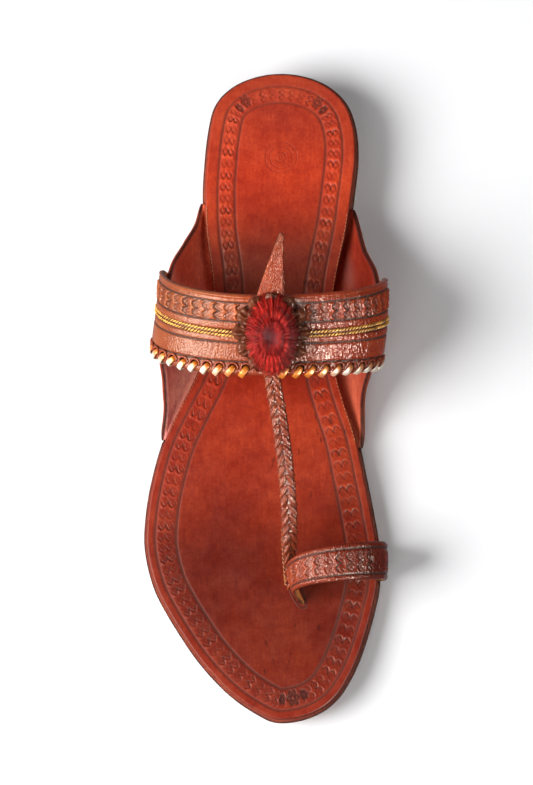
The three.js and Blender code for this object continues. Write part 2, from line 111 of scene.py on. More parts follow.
# The big-toe loop: share, toe-side x and station, heel-side x and station, height.
LOOP_PATH = np.array([
    (-0.02, 9.9, 206.6, 4.7, 196.8, -1.9), (0.0, 9.7, 206.3, 4.5, 196.4, -1.2),
    (0.12, 6.8, 203.2, 2.9, 192.6, 9.5), (0.25, 5.9, 200.8, 4.0, 189.2, 19),
    (0.37, 11.6, 199.2, 10.2, 186.6, 26.5), (0.49, 21.4, 198.2, 21.2, 184.6, 29.6),
    (0.6, 31.4, 197.2, 31.6, 183.2, 26.4), (0.69, 37.6, 196.4, 37.9, 182.2, 18.6),
    (0.77, 39.2, 195.8, 39.3, 181.6, 9), (0.83, 39.3, 195.6, 39.3, 181.4, 3),
    (0.87, 38.7, 195.5, 38.7, 181.4, 0.6), (0.91, 37.3, 195.5, 37.3, 181.4, -1.1),
    (0.93, 35.6, 195.4, 35.6, 181.4, -1.1), (1.0, 29.5, 195.4, 29.5, 181.4, -1.1),
], float)

# The braided strap: share, x, station, height, turn of its width in degrees.
STRAP_PATH = np.array([
    (0.0, -2.2, 118, 42.6, 0), (0.1, -1.3, 126, 39.4, 0), (0.3, 1.2, 142, 34.0, 0),
    (0.5, 3.0, 158, 28.2, 4), (0.7, 3.9, 174, 21.0, 12), (0.85, 3.6, 186, 13.6, 40),
    (1.0, 3.5, 196, 5.4, 62),
], float)

# The pointed tab: share, distance ahead of the band's heel-side edge, x, lift, half-width.
TAB_ROWS = np.array([
    (0.0, 13, -2.4, 0, 5.2), (0.3, 4, -2.0, 0, 5.2), (0.42, 0, -1.6, 0, 5.0),
    (0.75, -11, 0.4, 2.2, 2.9), (1.0, -21, 3.0, 5.5, 0.7),
], float)

# Where the band's edges lie: end stations lateral and medial, crest station, crest height.
BAND_TOE = {"lateral": 110.2, "medial": 116.6, "crest": 123.5, "rise": 41.0}
BAND_HEEL = {"lateral": 79.8, "medial": 83.4, "crest": 95.5, "rise": 49.5}
BAND_CREST_X = -1.2
BAND_DROP = 0.34
BAND_LEAN = 2.5
BAND_ON_EAR = 0.24
EAR_TO_BAND = (EAR_THICK + BAND_THICK) / 2 + LAYER_GAP
SIGN = {"lateral": -1.0, "medial": 1.0}
print("tables:", len(OUTLINE), "outline rows,", len(LOOP_PATH), "toe-loop rows")

# %% [markdown]
# ## Smooth curves through a table
# A maker draws a last with a few measures and a springy batten between them. A cubic Hermite curve
# does the same: it passes through every row and takes its slope from the rows on each side.

# %% Curve through a table, and the sole's own functions
def column(table, name_index):
    """A smooth function of the table's first column that gives its column `name_index`."""
    keys, values = table[:, 0], table[:, name_index]

    def at(key):
        key = np.asarray(key, float)
        right = np.clip(np.searchsorted(keys, key, side="left"), 1, len(keys) - 1)
        left, before = right - 1, np.maximum(right - 2, 0)
        after = np.minimum(right + 1, len(keys) - 1)
        span = keys[right] - keys[left]
        share = np.clip((key - keys[left]) / span, 0, 1)

        def slope(a, b):
            gap = keys[b] - keys[a]
            return np.where(gap == 0, 0, (values[b] - values[a]) / np.where(gap == 0, 1, gap))

        start, end = slope(before, right) * span, slope(left, after) * span
        s2, s3 = share**2, share**3
        return (
            (2 * s3 - 3 * s2 + 1) * values[left]
            + (s3 - 2 * s2 + share) * start
            + (3 * s2 - 2 * s3) * values[right]
            + (s3 - s2) * end
        )

    return at


def ease(share):
    return (1 - np.cos(np.pi * np.clip(share, 0, 1))) / 2


def mix(a, b, share):
    return a + (b - a) * share


def roundness(station):
    """How an outline closes near its ends: like a circle."""
    return np.sqrt(np.maximum(0, station * (INSOLE_LENGTH - station)))


SHARES = OUTLINE.copy()
SHARES[:, 1:] /= roundness(OUTLINE[:, :1])
HALF = {"lateral": column(SHARES, 1), "medial": column(SHARES, 2)}


def insole_edge(side, station):
    inside = np.clip(station, 0, INSOLE_LENGTH)
    return SIGN[side] * HALF[side](inside) * roundness(inside)


def lift(station):
    """Height of the outsole's underside: heel seat, arch, flat ball and toe spring."""
    station = np.asarray(station, float)
    arch = HEEL_HEIGHT * (1 - ease((station - HEEL_BREAST) / (BALL_START - HEEL_BREAST)))
    rise = np.clip((station - SPRING_START) / (INSOLE_LENGTH - SPRING_START), 0, None)
    return np.where(station > SPRING_START, TOE_SPRING * rise**2, arch)


insole_low, insole_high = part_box("insole")
widest = np.linspace(1, INSOLE_LENGTH - 1, 2000)
ORIGIN_X = (
    1000 * (insole_low.x + insole_high.x)
    - insole_edge("lateral", widest).min()
    - insole_edge("medial", widest).max()
) / 2
ORIGIN_Y = 1000 * (insole_low.y + insole_high.y) / 2 + INSOLE_LENGTH / 2


def place(x, station, z):
    """A point of the sandal as x, y, z in metres in the frame."""
    x, station, z = np.broadcast_arrays(x, station, z)
    return np.stack([x + ORIGIN_X, ORIGIN_Y - station, z], -1) / 1000


print("heel line at x", round(ORIGIN_X, 2), "mm, heel at y", round(ORIGIN_Y, 2), "mm")

# %% [markdown]
# ## Camera, floor and light
# The camera looks down from almost straight above, leaning a little towards the toes, with a long
# lens so that heel and toe keep their true sizes. Most of the light comes from one broad window on
# the left. A small lamp on the right only makes gleams in the leather, and two weak ones soften the
# shadows. The pale floor is kept out of the gloss, so that the leather stays deep.

# %% Camera
def link(name, data):
    """A new object for a mesh, lamp or camera, put into the scene."""
    made = bpy.data.objects.new(name, data)
    bpy.context.scene.collection.objects.link(made)
    return made


CAMERA_DISTANCE = 1.0
LEAN_TO_TOE = math.tan(math.radians(9.0))
LEAN_TO_INNER = math.tan(math.radians(2.4))
VIEW_LENGTH = 0.298  # what the long side of the view covers at the sandal, in metres
AIM = (0.0005, -0.001, 0.02)  # from the middle of the sandal's footprint, in metres

target = Vector((
    (cad_low.x + cad_high.x) / 2 + AIM[0], (cad_low.y + cad_high.y) / 2 + AIM[1], AIM[2]
))
back = Vector((LEAN_TO_INNER, -LEAN_TO_TOE, 1)).normalized()
right = Vector((0, 1, 0)).cross(back).normalized()
camera_up = back.cross(right)
camera_data = bpy.data.cameras.new("camera")
camera_data.sensor_width = 36
camera_data.lens = camera_data.sensor_width * CAMERA_DISTANCE / VIEW_LENGTH
camera = link("camera", camera_data)
camera.matrix_world = Matrix.Translation(target + back * CAMERA_DISTANCE) @ Matrix(
    (right, camera_up, back)
).transposed().to_4x4()
bpy.context.scene.camera = camera
print("lens:", round(camera_data.lens, 1), "mm")


# %% Floor
FLOOR_HALF = 3.0
FLOOR_COLOR = (0.86, 0.86, 0.87, 1)

floor_finish = bpy.data.materials.new("pale floor")
floor_finish.use_nodes = True
floor_shader = floor_finish.node_tree.nodes["Principled BSDF"]
floor_shader.inputs["Base Color"].default_value = FLOOR_COLOR
floor_shader.inputs["Roughness"].default_value = 0.8
floor_mesh = bpy.data.meshes.new("floor")
corners = [(-1, -1), (1, -1), (1, 1), (-1, 1)]
floor_mesh.from_pydata([(a * FLOOR_HALF, b * FLOOR_HALF, 0) for a, b in corners], [], [(0, 1, 2, 3)])
floor_mesh.materials.append(floor_finish)
floor = link("floor", floor_mesh)
floor.visible_glossy = False  # the room gleams in the leather, the bright floor does not

# %% Lights
LIGHTS = [  # name, place in metres, size, watts, whether it lights as well as gleams
    ("window", (-0.78, -0.16, 0.64), 0.8, 19.5, True),
    ("gleam", (0.48, -0.45, 0.56), 0.22, 11.0, False),
    ("fill", (0.62, -0.10, 0.60), 0.4, 1.7, True),
    ("front", (-0.2, -0.7, 0.9), 0.5, 1.8, True),
]
for name, spot, size, watts, lights_up in LIGHTS:
    lamp = bpy.data.lights.new(name, "AREA")
    lamp.shape, lamp.size, lamp.energy = "DISK", size, watts
    holder = link(name, lamp)
    holder.location = spot
    holder.rotation_euler = Vector(spot).to_track_quat("Z", "Y").to_euler()
    holder.visible_diffuse = lights_up
print("lights:", [name for name, *_ in LIGHTS])

# %% [markdown]
# ## Nodes in few words
# A finish, the room's light and a repeated shape are all trees of nodes. One small class keeps their
# making short: it adds a node, fills its sockets by name or number, and links whatever comes from
# another node. The room is the first tree made with it: a soft glow that is bright on the left, dim
# on the right and darker overhead, where the camera hangs.

# %% A short way to add nodes
class Nodes:
    """Adds nodes to one tree. `mix`, `math` and `ramp` return a value, `add` returns the node."""

    def __init__(self, tree):
        self.tree = tree

    def set(self, node, key, value):
        if isinstance(value, bpy.types.NodeSocket):
            self.tree.links.new(value, node.inputs[key])
        else:
            node.inputs[key].default_value = value

    def add(self, kind, inputs=None, **settings):
        node = self.tree.nodes.new(kind)
        for key, value in settings.items():
            setattr(node, key, value)
        for key, value in (inputs or {}).items():
            self.set(node, key, value)
        return node

    def mix(self, share, a, b, blend="MIX"):
        """One colour into another. Sockets 6 and 7 are the Mix node's two colours."""
        opaque = [(*c, 1) if isinstance(c, tuple) and len(c) == 3 else c for c in (a, b)]
        inputs = {0: share, 6: opaque[0], 7: opaque[1]}
        return self.add("ShaderNodeMix", inputs, data_type="RGBA", blend_type=blend).outputs[2]

    def math(self, operation, a, b=0.0, clamp=False):
        return self.add("ShaderNodeMath", {0: a, 1: b}, operation=operation, use_clamp=clamp).outputs[0]

    def ramp(self, value, stops):
        """Stretches a value from its first pair of limits to the second pair."""
        (from_low, from_high), (to_low, to_high) = stops
        return self.add("ShaderNodeMapRange", {
            "Value": value, "From Min": from_low, "From Max": from_high,
            "To Min": to_low, "To Max": to_high,
        }).outputs["Result"]


# %% The room's light
ROOM_LEFT, ROOM_RIGHT, ROOM_OVERHEAD = 0.4, 0.08, 0.2
ROOM_COLOR = (0.96, 0.97, 1.0, 1)

world = bpy.data.worlds.new("studio")
bpy.context.scene.world = world
world.use_nodes = True
n = Nodes(world.node_tree)
towards = n.add("ShaderNodeSeparateXYZ", {0: n.add("ShaderNodeTexCoord").outputs["Generated"]})
sides = n.ramp(towards.outputs["X"], ((-0.7, 0.7), (ROOM_LEFT, ROOM_RIGHT)))
overhead = n.ramp(towards.outputs["Z"], ((0.35, 0.95), (1.0, ROOM_OVERHEAD)))
n.set(world.node_tree.nodes["Background"], "Strength", n.math("MULTIPLY", sides, overhead))
n.set(world.node_tree.nodes["Background"], "Color", ROOM_COLOR)
bpy.context.scene.view_settings.view_transform = "Standard"
print("room: left", ROOM_LEFT, "right", ROOM_RIGHT, "overhead", ROOM_OVERHEAD)

# %% [markdown]
# ## Leather as a finish
# Vegetable-tanned leather is dyed by hand, then burnished. Its colour is never even: broad clouds of
# dye, fine mottling from the pores, darker dye caught in every tooled line, and a dark painted edge.
# Three numbers and a colour stored on each mesh tell the finish where it is: `groove` (tooling; below
# zero it paints a highlight on a raised ridge, and in the band's holes, the toe slit and between the
# rosette's petals it paints shade), `flesh` (the raw back), `edge` (the painted edge) and `tint` (the
# hand dyeing, with painted light and shade on some pieces). Noise textures on Object coordinates add
# the clouds and the grain, so the pattern stays put when the piece moves.

# %% Leather finish
def linear(red, green, blue):
    """A colour picked on a screen, as the linear light that a shader works in."""
    c = np.array([red, green, blue], float) / 255
    return np.where(c <= 0.04045, c / 12.92, ((c + 0.055) / 1.055) ** 2.4)


NOISE_RANGE = (0.3, 0.7)  # where nearly all of a noise texture's values lie
WARM_GLEAM = (1.0, 0.82, 0.68, 1)  # dyed leather gives light back a little warmer
RIDGE_HIGHLIGHT = (1.9, 2.4, 2.4)  # a painted highlight on a raised ridge, against the dye beside it
LEATHER = dict(  # the usual finish, of which each leather changes a part
    plain=None,  # one colour all over, in place of the colours stored on the mesh
    dark=(52, 18, 14), flesh=(196, 120, 62), edge=(58, 26, 22),  # cut lines, raw back, painted edge
    mottle=0.25, streak=0.25, scuffs=0.0,  # how uneven the dye is, and how scuffed
    cut_dye=0.85, ridge_light=0.5, worn_edge=(1.0, 0.55),  # dye in cuts, light on ridges, edge paint
    grain=1100.0, grain_depth=0.00006, pebble=0.0,  # the grain's scale, its depth, its round pebbles
    creases=0.0, crease_way=(1.0, 0.3, 0.3), crease_size=620.0, crease_outer=1.0,
    rough=(0.34, 0.52), shine=0.4, coat=0.25,
    stamp=None,  # a ring stamp: centre, radii and width of its rings
)


def noise(n, where, scale, detail=4.0, roughness=0.55, distortion=0.0):
    return n.add("ShaderNodeTexNoise", {
        "Vector": where, "Scale": scale, "Detail": detail, "Roughness": roughness,
        "Distortion": distortion,
    }).outputs["Fac"]


def stretched(n, where, scale, turn=0.0):
    """Coordinates in which a pattern comes out long along the axes that have a small scale."""
    return n.add("ShaderNodeMapping", {
        "Vector": where, "Rotation": (0.0, 0.0, turn), "Scale": scale,
    }).outputs[0]


def ring_stamp(n, where, centre, rings, width):
    """A stamp of concentric rings about a point, as a 0 to 1 depth in the shader."""
    flat = n.add("ShaderNodeVectorMath", {0: where, 1: centre}, operation="SUBTRACT").outputs[0]
    flat = n.add("ShaderNodeVectorMath", {0: flat, 1: (1, 1, 0)}, operation="MULTIPLY").outputs[0]
    far = n.add("ShaderNodeVectorMath", {0: flat}, operation="LENGTH").outputs["Value"]
    depth = None
    for radius in rings:
        off = n.math("ABSOLUTE", n.math("SUBTRACT", far, radius))
        one = n.ramp(off, ((0.0, width), (1.0, 0.0)))
        depth = one if depth is None else n.math("MAXIMUM", depth, one)
    return depth


# %% Leather: its colour
def leather_color(n, look, where, layer, streaks, pores, pressed):
    """Hand dye, painted highlights on ridges, dark cuts, the raw back, the painted edge and scuffs, in
    that order.
    """
    dark, flesh, edge = [tuple(linear(*color)) for color in (look.dark, look.flesh, look.edge)]
    shade = n.ramp(noise(n, where, 38.0, 3.0), (NOISE_RANGE, (1 - look.mottle, 1 + look.mottle)))
    for pattern, strength in (
        (noise(n, where, 240.0, 4.0, 0.65), 0.7 * look.mottle), (streaks, look.streak), (pores, 0.1),
    ):
        shade = n.math("MULTIPLY", shade, n.ramp(pattern, (NOISE_RANGE, (1 - strength, 1 + strength))))
    # The dye is redder where it is deep and more orange where it is thin.
    thin = n.math("POWER", shade, 1.7)
    uneven = n.add("ShaderNodeCombineColor", {"Red": shade, "Green": thin, "Blue": shade}).outputs[0]
    tint = n.add("ShaderNodeAttribute", attribute_name="tint").outputs["Color"]
    color = n.mix(1.0, tuple(linear(*look.plain)) if look.plain else tint, uneven, "MULTIPLY")
    # Where the groove is below zero, a raised ridge is painted lighter: a painted highlight.
    ridge = n.math("MULTIPLY", layer["groove"], -look.ridge_light, True)
    color = n.mix(ridge, color, n.mix(1.0, color, RIDGE_HIGHLIGHT, "MULTIPLY"))
    color = n.mix(n.math("MULTIPLY", layer["groove"], look.cut_dye, True), color, dark)
    fibres = n.ramp(noise(n, where, 700.0), (NOISE_RANGE, (0.0, 1.0)))
    suede = n.mix(fibres, tuple(linear(*look.flesh) * 0.7), flesh)
    color = n.mix(layer["flesh"], color, suede)
    worn = n.ramp(noise(n, where, 260.0, 3.0), ((0.45, 0.7), look.worn_edge))
    color = n.mix(n.math("MULTIPLY", layer["edge"], worn, True), color, edge)
    if look.scuffs:
        slanted = stretched(n, where, (1.0, 0.3, 1.0), turn=0.9)
        marks = n.ramp(noise(n, slanted, 430.0, 2.0, 0.5), ((0.66, 0.71), (0.0, 1.0)))
        here = n.ramp(noise(n, where, 32.0, 2.0), ((0.52, 0.6), (0.0, look.scuffs)))
        color = n.mix(n.math("MULTIPLY", marks, here), color, dark)
    if pressed:
        color = n.mix(n.math("MULTIPLY", pressed, 0.22), color, dark)
    return color


# %% Leather: its gloss and relief
def leather_roughness(n, look, where, layer):
    """Burnished leather gleams unevenly. Its raw back and the bottoms of its cuts stay dull."""
    gloss = n.ramp(noise(n, where, 120.0), (NOISE_RANGE, look.rough))
    raw = n.math("MULTIPLY", layer["flesh"], 0.35)
    cut = n.math("MULTIPLY", layer["groove"], 0.5, True)
    return n.math("ADD", gloss, n.math("ADD", raw, cut), True)


def leather_relief(n, look, where, streaks, pores, pressed):
    """Pores, pebbles, creases and the ring stamp, as one height for the bump."""
    cells = n.add("ShaderNodeTexVoronoi", {
        "Vector": where, "Scale": look.grain * 0.62, "Randomness": 1.0,
    }, feature="DISTANCE_TO_EDGE").outputs["Distance"]
    pebbles = n.ramp(cells, ((0.0, 0.25), (0.0, 1.0)))
    relief = n.math("ADD", n.math("MULTIPLY", pores, 0.5), n.math("MULTIPLY", streaks, 0.25))
    relief = n.math("ADD", relief, n.math("MULTIPLY", pebbles, look.pebble))
    if look.creases:
        waves = noise(n, stretched(n, where, look.crease_way), look.crease_size, 2.0, 0.5, 0.8)
        folds = n.math("ABSOLUTE", n.math("SUBTRACT", waves, 0.5))
        folds = n.ramp(folds, ((0.0, 0.22), (0.0, 1.0)))
        # A strap bends more on the foot's inner side, so it creases more there.
        x = n.add("ShaderNodeSeparateXYZ", {0: where}).outputs["X"]
        folds = n.math("MULTIPLY", folds, n.ramp(x, ((-0.012, 0.012), (look.crease_outer, 1.0))))
        relief = n.math("ADD", relief, n.math("MULTIPLY", folds, look.creases))
    if pressed:
        relief = n.math("SUBTRACT", relief, n.math("MULTIPLY", pressed, 1.5))
    return relief


# %% Leather: the whole finish
def new_finish(name):
    """A new material, with its node helper, its shader and its Object coordinates."""
    made = bpy.data.materials.new(name)
    made.use_nodes = True
    n = Nodes(made.node_tree)
    shader = made.node_tree.nodes["Principled BSDF"]
    return made, n, shader, n.add("ShaderNodeTexCoord").outputs["Object"]


def leather_finish(name, **changes):
    look = SimpleNamespace(**{**LEATHER, **changes})
    made, n, shader, where = new_finish(name)
    layer = {key: n.add("ShaderNodeAttribute", attribute_name=key).outputs["Fac"]
             for key in ("groove", "flesh", "edge")}
    streaks = noise(n, stretched(n, where, (1.0, 0.12, 1.0)), 1300.0, 2.0, 0.6)
    pores = noise(n, where, look.grain, 2.0)
    pressed = ring_stamp(n, where, *look.stamp) if look.stamp else None
    relief = leather_relief(n, look, where, streaks, pores, pressed)
    bump = n.add("ShaderNodeBump", {"Height": relief, "Distance": look.grain_depth, "Strength": 1.0})
    for key, value in (
        ("Base Color", leather_color(n, look, where, layer, streaks, pores, pressed)),
        ("Roughness", leather_roughness(n, look, where, layer)), ("Normal", bump.outputs["Normal"]),
        ("Specular IOR Level", look.shine), ("Specular Tint", WARM_GLEAM),
        ("Coat Weight", look.coat), ("Coat Roughness", 0.22),
    ):
        n.set(shader, key, value)
    return made


HEEL_STAMP = (*place(0.6, 33.0, 0.0)[:2], 0.0)
INSOLE_FINISH = leather_finish(
    "burnished insole leather", mottle=0.2, streak=0.08, pebble=0.1, rough=(0.3, 0.44), coat=0.0,
    shine=0.25, ridge_light=0.6, scuffs=0.5,
    stamp=(HEEL_STAMP, (0.0061, 0.0043, 0.0020, 0.0006), 0.00035),
)
# The band leather's raw back, flesh=(250, 160, 76), is lighter than raw leather: painted light for the
# loop's raw side, which shows in shade at the slit.
BAND_FINISH = leather_finish("grained strap leather", dark=(46, 14, 8), mottle=0.16, streak=0.0,
                             pebble=0.5, grain=1250.0, grain_depth=0.00012, rough=(0.1, 0.23),
                             coat=0.0, creases=1.7, crease_outer=0.35, shine=0.52, ridge_light=0.8,
                             cut_dye=1.25, crease_way=(1.0, 0.3, 0.16), flesh=(250, 160, 76))
EAR_FINISH = leather_finish("plain ear leather", mottle=0.14, streak=0.1, pebble=0.2, coat=0.0,
                            worn_edge=(1.0, 0.85), shine=0.12)
SOLE_FINISH = leather_finish("stacked sole leather", mottle=0.18, streak=0.1, pebble=0.2,
                             rough=(0.5, 0.7), coat=0.0, shine=0.3)
print("finishes:", [m.name for m in bpy.data.materials])

# %% [markdown]
# ## Leather as a mesh
# A strap is a sheet with a top, a back and rounded edges. The helper takes the middle surface of the
# sheet as a grid of points, pushes it out by half the thickness both ways, thins it towards its
# edges so that they round over, and adds the height of the tooling to the top.

# %% Mesh helpers
def to_world(points):
    """Grid points in millimetres (x, minus station, z) as metres in the frame."""
    return (np.asarray(points) + np.array([ORIGIN_X, ORIGIN_Y, 0.0])) / 1000


def unit(vectors):
    length = np.linalg.norm(vectors, axis=-1, keepdims=True)
    return vectors / np.maximum(length, 1e-12)


def store_tint(mesh, tint):
    """The hand dyeing: a colour for each point, or one for all."""
    colors = np.ones((len(mesh.vertices), 4), np.float32)
    colors[:, :3] = tint
    layer = mesh.attributes.get("tint") or mesh.attributes.new("tint", "FLOAT_COLOR", "POINT")
    layer.data.foreach_set("color", colors.ravel())


def read_points(mesh):
    """Where a mesh's points are, in metres."""
    flat = np.empty(len(mesh.vertices) * 3, np.float32)
    mesh.vertices.foreach_get("co", flat)
    return flat.reshape(-1, 3)


def triangle_count(mesh):
    return sum(len(face.vertices) - 2 for face in mesh.polygons)


MERGE_CLOSER = 2e-6  # metres
DROP_SHORTER = 1e-7


def build_mesh(name, points, faces, layers, tint, finish):
    """A named piece from world points, faces, float layers and a colour per point."""
    mesh = bpy.data.meshes.new(name)
    mesh.from_pydata(points.tolist(), [], faces)
    for key, values in layers.items():
        mesh.attributes.new(key, "FLOAT", "POINT").data.foreach_set("value", np.float32(values))
    store_tint(mesh, tint)
    shape = bmesh.new()
    shape.from_mesh(mesh)
    bmesh.ops.remove_doubles(shape, verts=shape.verts, dist=MERGE_CLOSER)
    bmesh.ops.dissolve_degenerate(shape, edges=shape.edges, dist=DROP_SHORTER)
    bmesh.ops.recalc_face_normals(shape, faces=shape.faces)
    if shape.calc_volume(signed=True) < 0:
        bmesh.ops.reverse_faces(shape, faces=shape.faces)
    for face in shape.faces:
        face.smooth = True
    open_edges = sum(1 for e in shape.edges if not e.is_manifold)
    shape.to_mesh(mesh)
    shape.free()
    mesh.materials.append(finish)
    made = link(name, mesh)
    print(f"{name}: {triangle_count(mesh)} triangles, {open_edges} open edges")
    return made


def grid_faces(rows, columns, start=0, wrap=False, flip=False):
    """Quads of a grid whose points are numbered row by row."""
    last = rows if wrap else rows - 1
    i, j = np.meshgrid(np.arange(last), np.arange(columns - 1), indexing="ij")
    a = start + i * columns + j
    b = start + ((i + 1) % rows) * columns + j
    quads = np.stack([a, b, b + 1, a + 1], -1).reshape(-1, 4)
    return (quads[:, ::-1] if flip else quads).tolist()


def edge_samples(width, cell, fillet=(0.0, 0.12, 0.32, 0.62, 1.0)):
    """Positions across a strip of a width in millimetres, closer together at its two edges."""
    flat = width - 2 * fillet[-1]
    inner = np.linspace(fillet[-1], width - fillet[-1], max(2, int(flat / cell)))
    left = np.array(fillet[:-1])
    return np.concatenate([left, inner, width - left[::-1]]) / width


def rounded(distance, radius):
    """How far a sheet has come to its full thickness at a distance from its edge."""
    near = np.clip(1 - distance / radius, 0, 1)
    return np.sqrt(np.maximum(0.02, 1 - near**2))


def strip(
    name, surface, length_mm, width_mm, thickness, finish, tint,
    cell=0.45, tool=None, up=1.0, ends=True, edge_dark=0.7, extra_edge=0.35, raw_back=1.0,
    back_dye=None,
):
    """A leather strip about a middle surface(along, across), each from 0 to 1.

    Dyes and tools are functions of how far a point is along and across in millimetres, with the
    strip's full length and width. A tool gives the height and how deep the groove's dye is.
    """
    u = edge_samples(length_mm, cell) if ends else np.linspace(0, 1, int(length_mm / cell))
    v = edge_samples(width_mm, cell)
    U, V = np.meshgrid(u, v, indexing="ij")
    middle = surface(U, V)
    du = np.gradient(middle, axis=0)
    dv = np.gradient(middle, axis=1)
    normal = unit(np.cross(du, dv)) * up
    step_u = np.linalg.norm(np.diff(middle, axis=0), axis=-1)
    step_v = np.linalg.norm(np.diff(middle, axis=1), axis=-1)
    a = np.concatenate([np.zeros((1, len(v))), np.cumsum(step_u, 0)])
    b = np.concatenate([np.zeros((len(u), 1)), np.cumsum(step_v, 1)], 1)
    long, wide = a[-1:], b[:, -1:]
    near = np.minimum(b, wide - b)
    if ends:
        near = np.minimum(near, np.minimum(a, long - a))
    half = thickness / 2 * rounded(near, thickness * 0.55)
    height, groove = tool(a, b, long, wide) if tool else (np.zeros_like(a), np.zeros_like(a))
    top = to_world(middle + normal * (half + height)[..., None])
    under = to_world(middle - normal * half[..., None])
    rows, columns = U.shape
    points = np.concatenate([top.reshape(-1, 3), under.reshape(-1, 3)])
    count = rows * columns
    faces = grid_faces(rows, columns) + grid_faces(rows, columns, count, flip=True)
    rim = [i * columns for i in range(rows)]
    rim += [(rows - 1) * columns + j for j in range(1, columns)]
    rim += [i * columns + columns - 1 for i in range(rows - 2, -1, -1)]
    rim += [j for j in range(columns - 2, 0, -1)]
    for one, two in zip(rim, rim[1:] + rim[:1]):
        faces.append((one, one + count, two + count, two))
    dark = edge_dark * np.clip(1 - near / extra_edge, 0, 1)
    layers = {
        "groove": np.concatenate([groove.ravel(), np.zeros(count)]),
        "edge": np.concatenate([dark.ravel(), np.clip(1 - near / 0.5, 0, 1).ravel()]),
        "flesh": np.concatenate([np.zeros(count), np.full(count, raw_back)]),
    }
    face_dye = tint(a, b, long, wide) if callable(tint) else tint
    face_dye = np.broadcast_to(face_dye, (rows, columns, 3)).reshape(-1, 3)
    rear_dye = face_dye if back_dye is None else np.broadcast_to(back_dye, face_dye.shape)
    return build_mesh(name, points, faces, layers, np.concatenate([face_dye, rear_dye]), finish)


# %% [markdown]
# ## Tooling
# The maker strikes rows of small stamps between lines cut with a groover. A stamp here is a wave of
# two lobes, like a 3 lying across the row, repeated along it. As a height it is a narrow cut that
# follows the wave, with a soft swelling beside it where the leather is pushed up.

# %% Tooling heights
def frac(value):
    return value - np.floor(value)


def smooth(value, low, high):
    t = np.clip((value - low) / (high - low), 0, 1)
    return t * t * (3 - 2 * t)


def line_cut(b, at, width=0.42, depth=0.28):
    """A grooved line along the piece: height and how dark its dye is."""
    cut = np.exp(-(((b - at) / width) ** 2))
    return -depth * cut, cut


LOBES = 2
LOBE_REACH = 0.5  # how far a lobe reaches towards the next stamp, as a share of the pitch
LOBE_CURVE = 1.8


def stamp_row(a, b, low, high, pitch, depth=0.5, line=0.27, filled=0.4):
    """A row of lobed stamps between two lines at `low` and `high` across the piece."""
    x = (b - low) / (high - low)
    y = np.abs(2 * (frac(np.clip(x, 0, 0.9999) * LOBES) - 0.5))
    position = a / pitch + LOBE_REACH * (1 - y**LOBE_CURVE)
    struck = 0.72 + 0.28 * np.sin(np.floor(position) * 2.4 + 1.0)  # no two blows are alike
    slope = LOBE_REACH * pitch * LOBE_CURVE * y ** (LOBE_CURVE - 1) * 2 * LOBES / (high - low)
    away = (frac(position) - 0.5) * pitch / np.sqrt(1 + slope**2)
    inside = smooth(x, 0.0, 0.06) * (1 - smooth(x, 0.94, 1.0))
    cut = np.exp(-((away / line) ** 2))
    inner = np.exp(-(((away - 1.0) / (line * 0.85)) ** 2)) * (1 - y**3)
    ridge = np.exp(-(((away + 0.55) / 0.34) ** 2)) + 0.8 * np.exp(-(((away - 0.5) / 0.28) ** 2))
    height = struck * depth * (0.65 * ridge - cut - filled * inner) * inside
    # Below zero, the groove paints the swelling lighter: a painted highlight.
    return height, np.clip(struck * (1.1 * cut + filled * inner - 0.9 * ridge), -1, 1) * inside


def flower(a, b, at_a, at_b, radius=3.4, petals=6, depth=0.45):
    """A round flower stamp: a ring of cut petals about a small dot."""
    x, y = a - at_a, b - at_b
    r, angle = np.hypot(x, y), np.arctan2(y, x)
    outline = radius * (0.82 + 0.18 * np.cos(petals * angle))
    ring = np.exp(-(((r - outline) / 0.38) ** 2))
    inner = np.exp(-(((r - radius * 0.38) / 0.34) ** 2))
    rays = np.clip(np.cos(petals * angle), 0, 1) ** 6 * np.exp(-(((r - radius * 0.62) / 0.7) ** 2))
    cut = np.clip(ring + inner + 0.8 * rays, 0, 1)
    return -depth * cut, cut, smooth(radius * 1.25 - r, 0.0, 0.6)


def deeper(one, two):
    """Joins two groove layers: a cut wins over a worn ridge."""
    return np.where(two > 0.05, np.maximum(one, two), one)


INSOLE_PITCH = 4.8  # from one stamp to the next, in millimetres
BORDER_CELL = 0.42
print("one stamp of the border spans", round(INSOLE_PITCH / BORDER_CELL), "cells of the mesh")

# %% [markdown]
# ## The insole
# The insole is one thick piece of leather. Its border is tooled all the way round: a grooved line, a
# row of stamps, a second line, with flower stamps at the heel's corners and at the toe. The mesh is a
# ring of rows round the outline. Each row starts at the edge, crosses the border in fine steps and
# ends on the sole's middle line. The rows are close enough for the stamps to be real relief.

# %% Rings round the sole
FINE_STEPS = 6001
SMOOTHED_OVER = 9.0  # how far along the edge its outward direction is averaged
SPINE_ENDS = (34, 214)
SPINE_STEP = 2.0


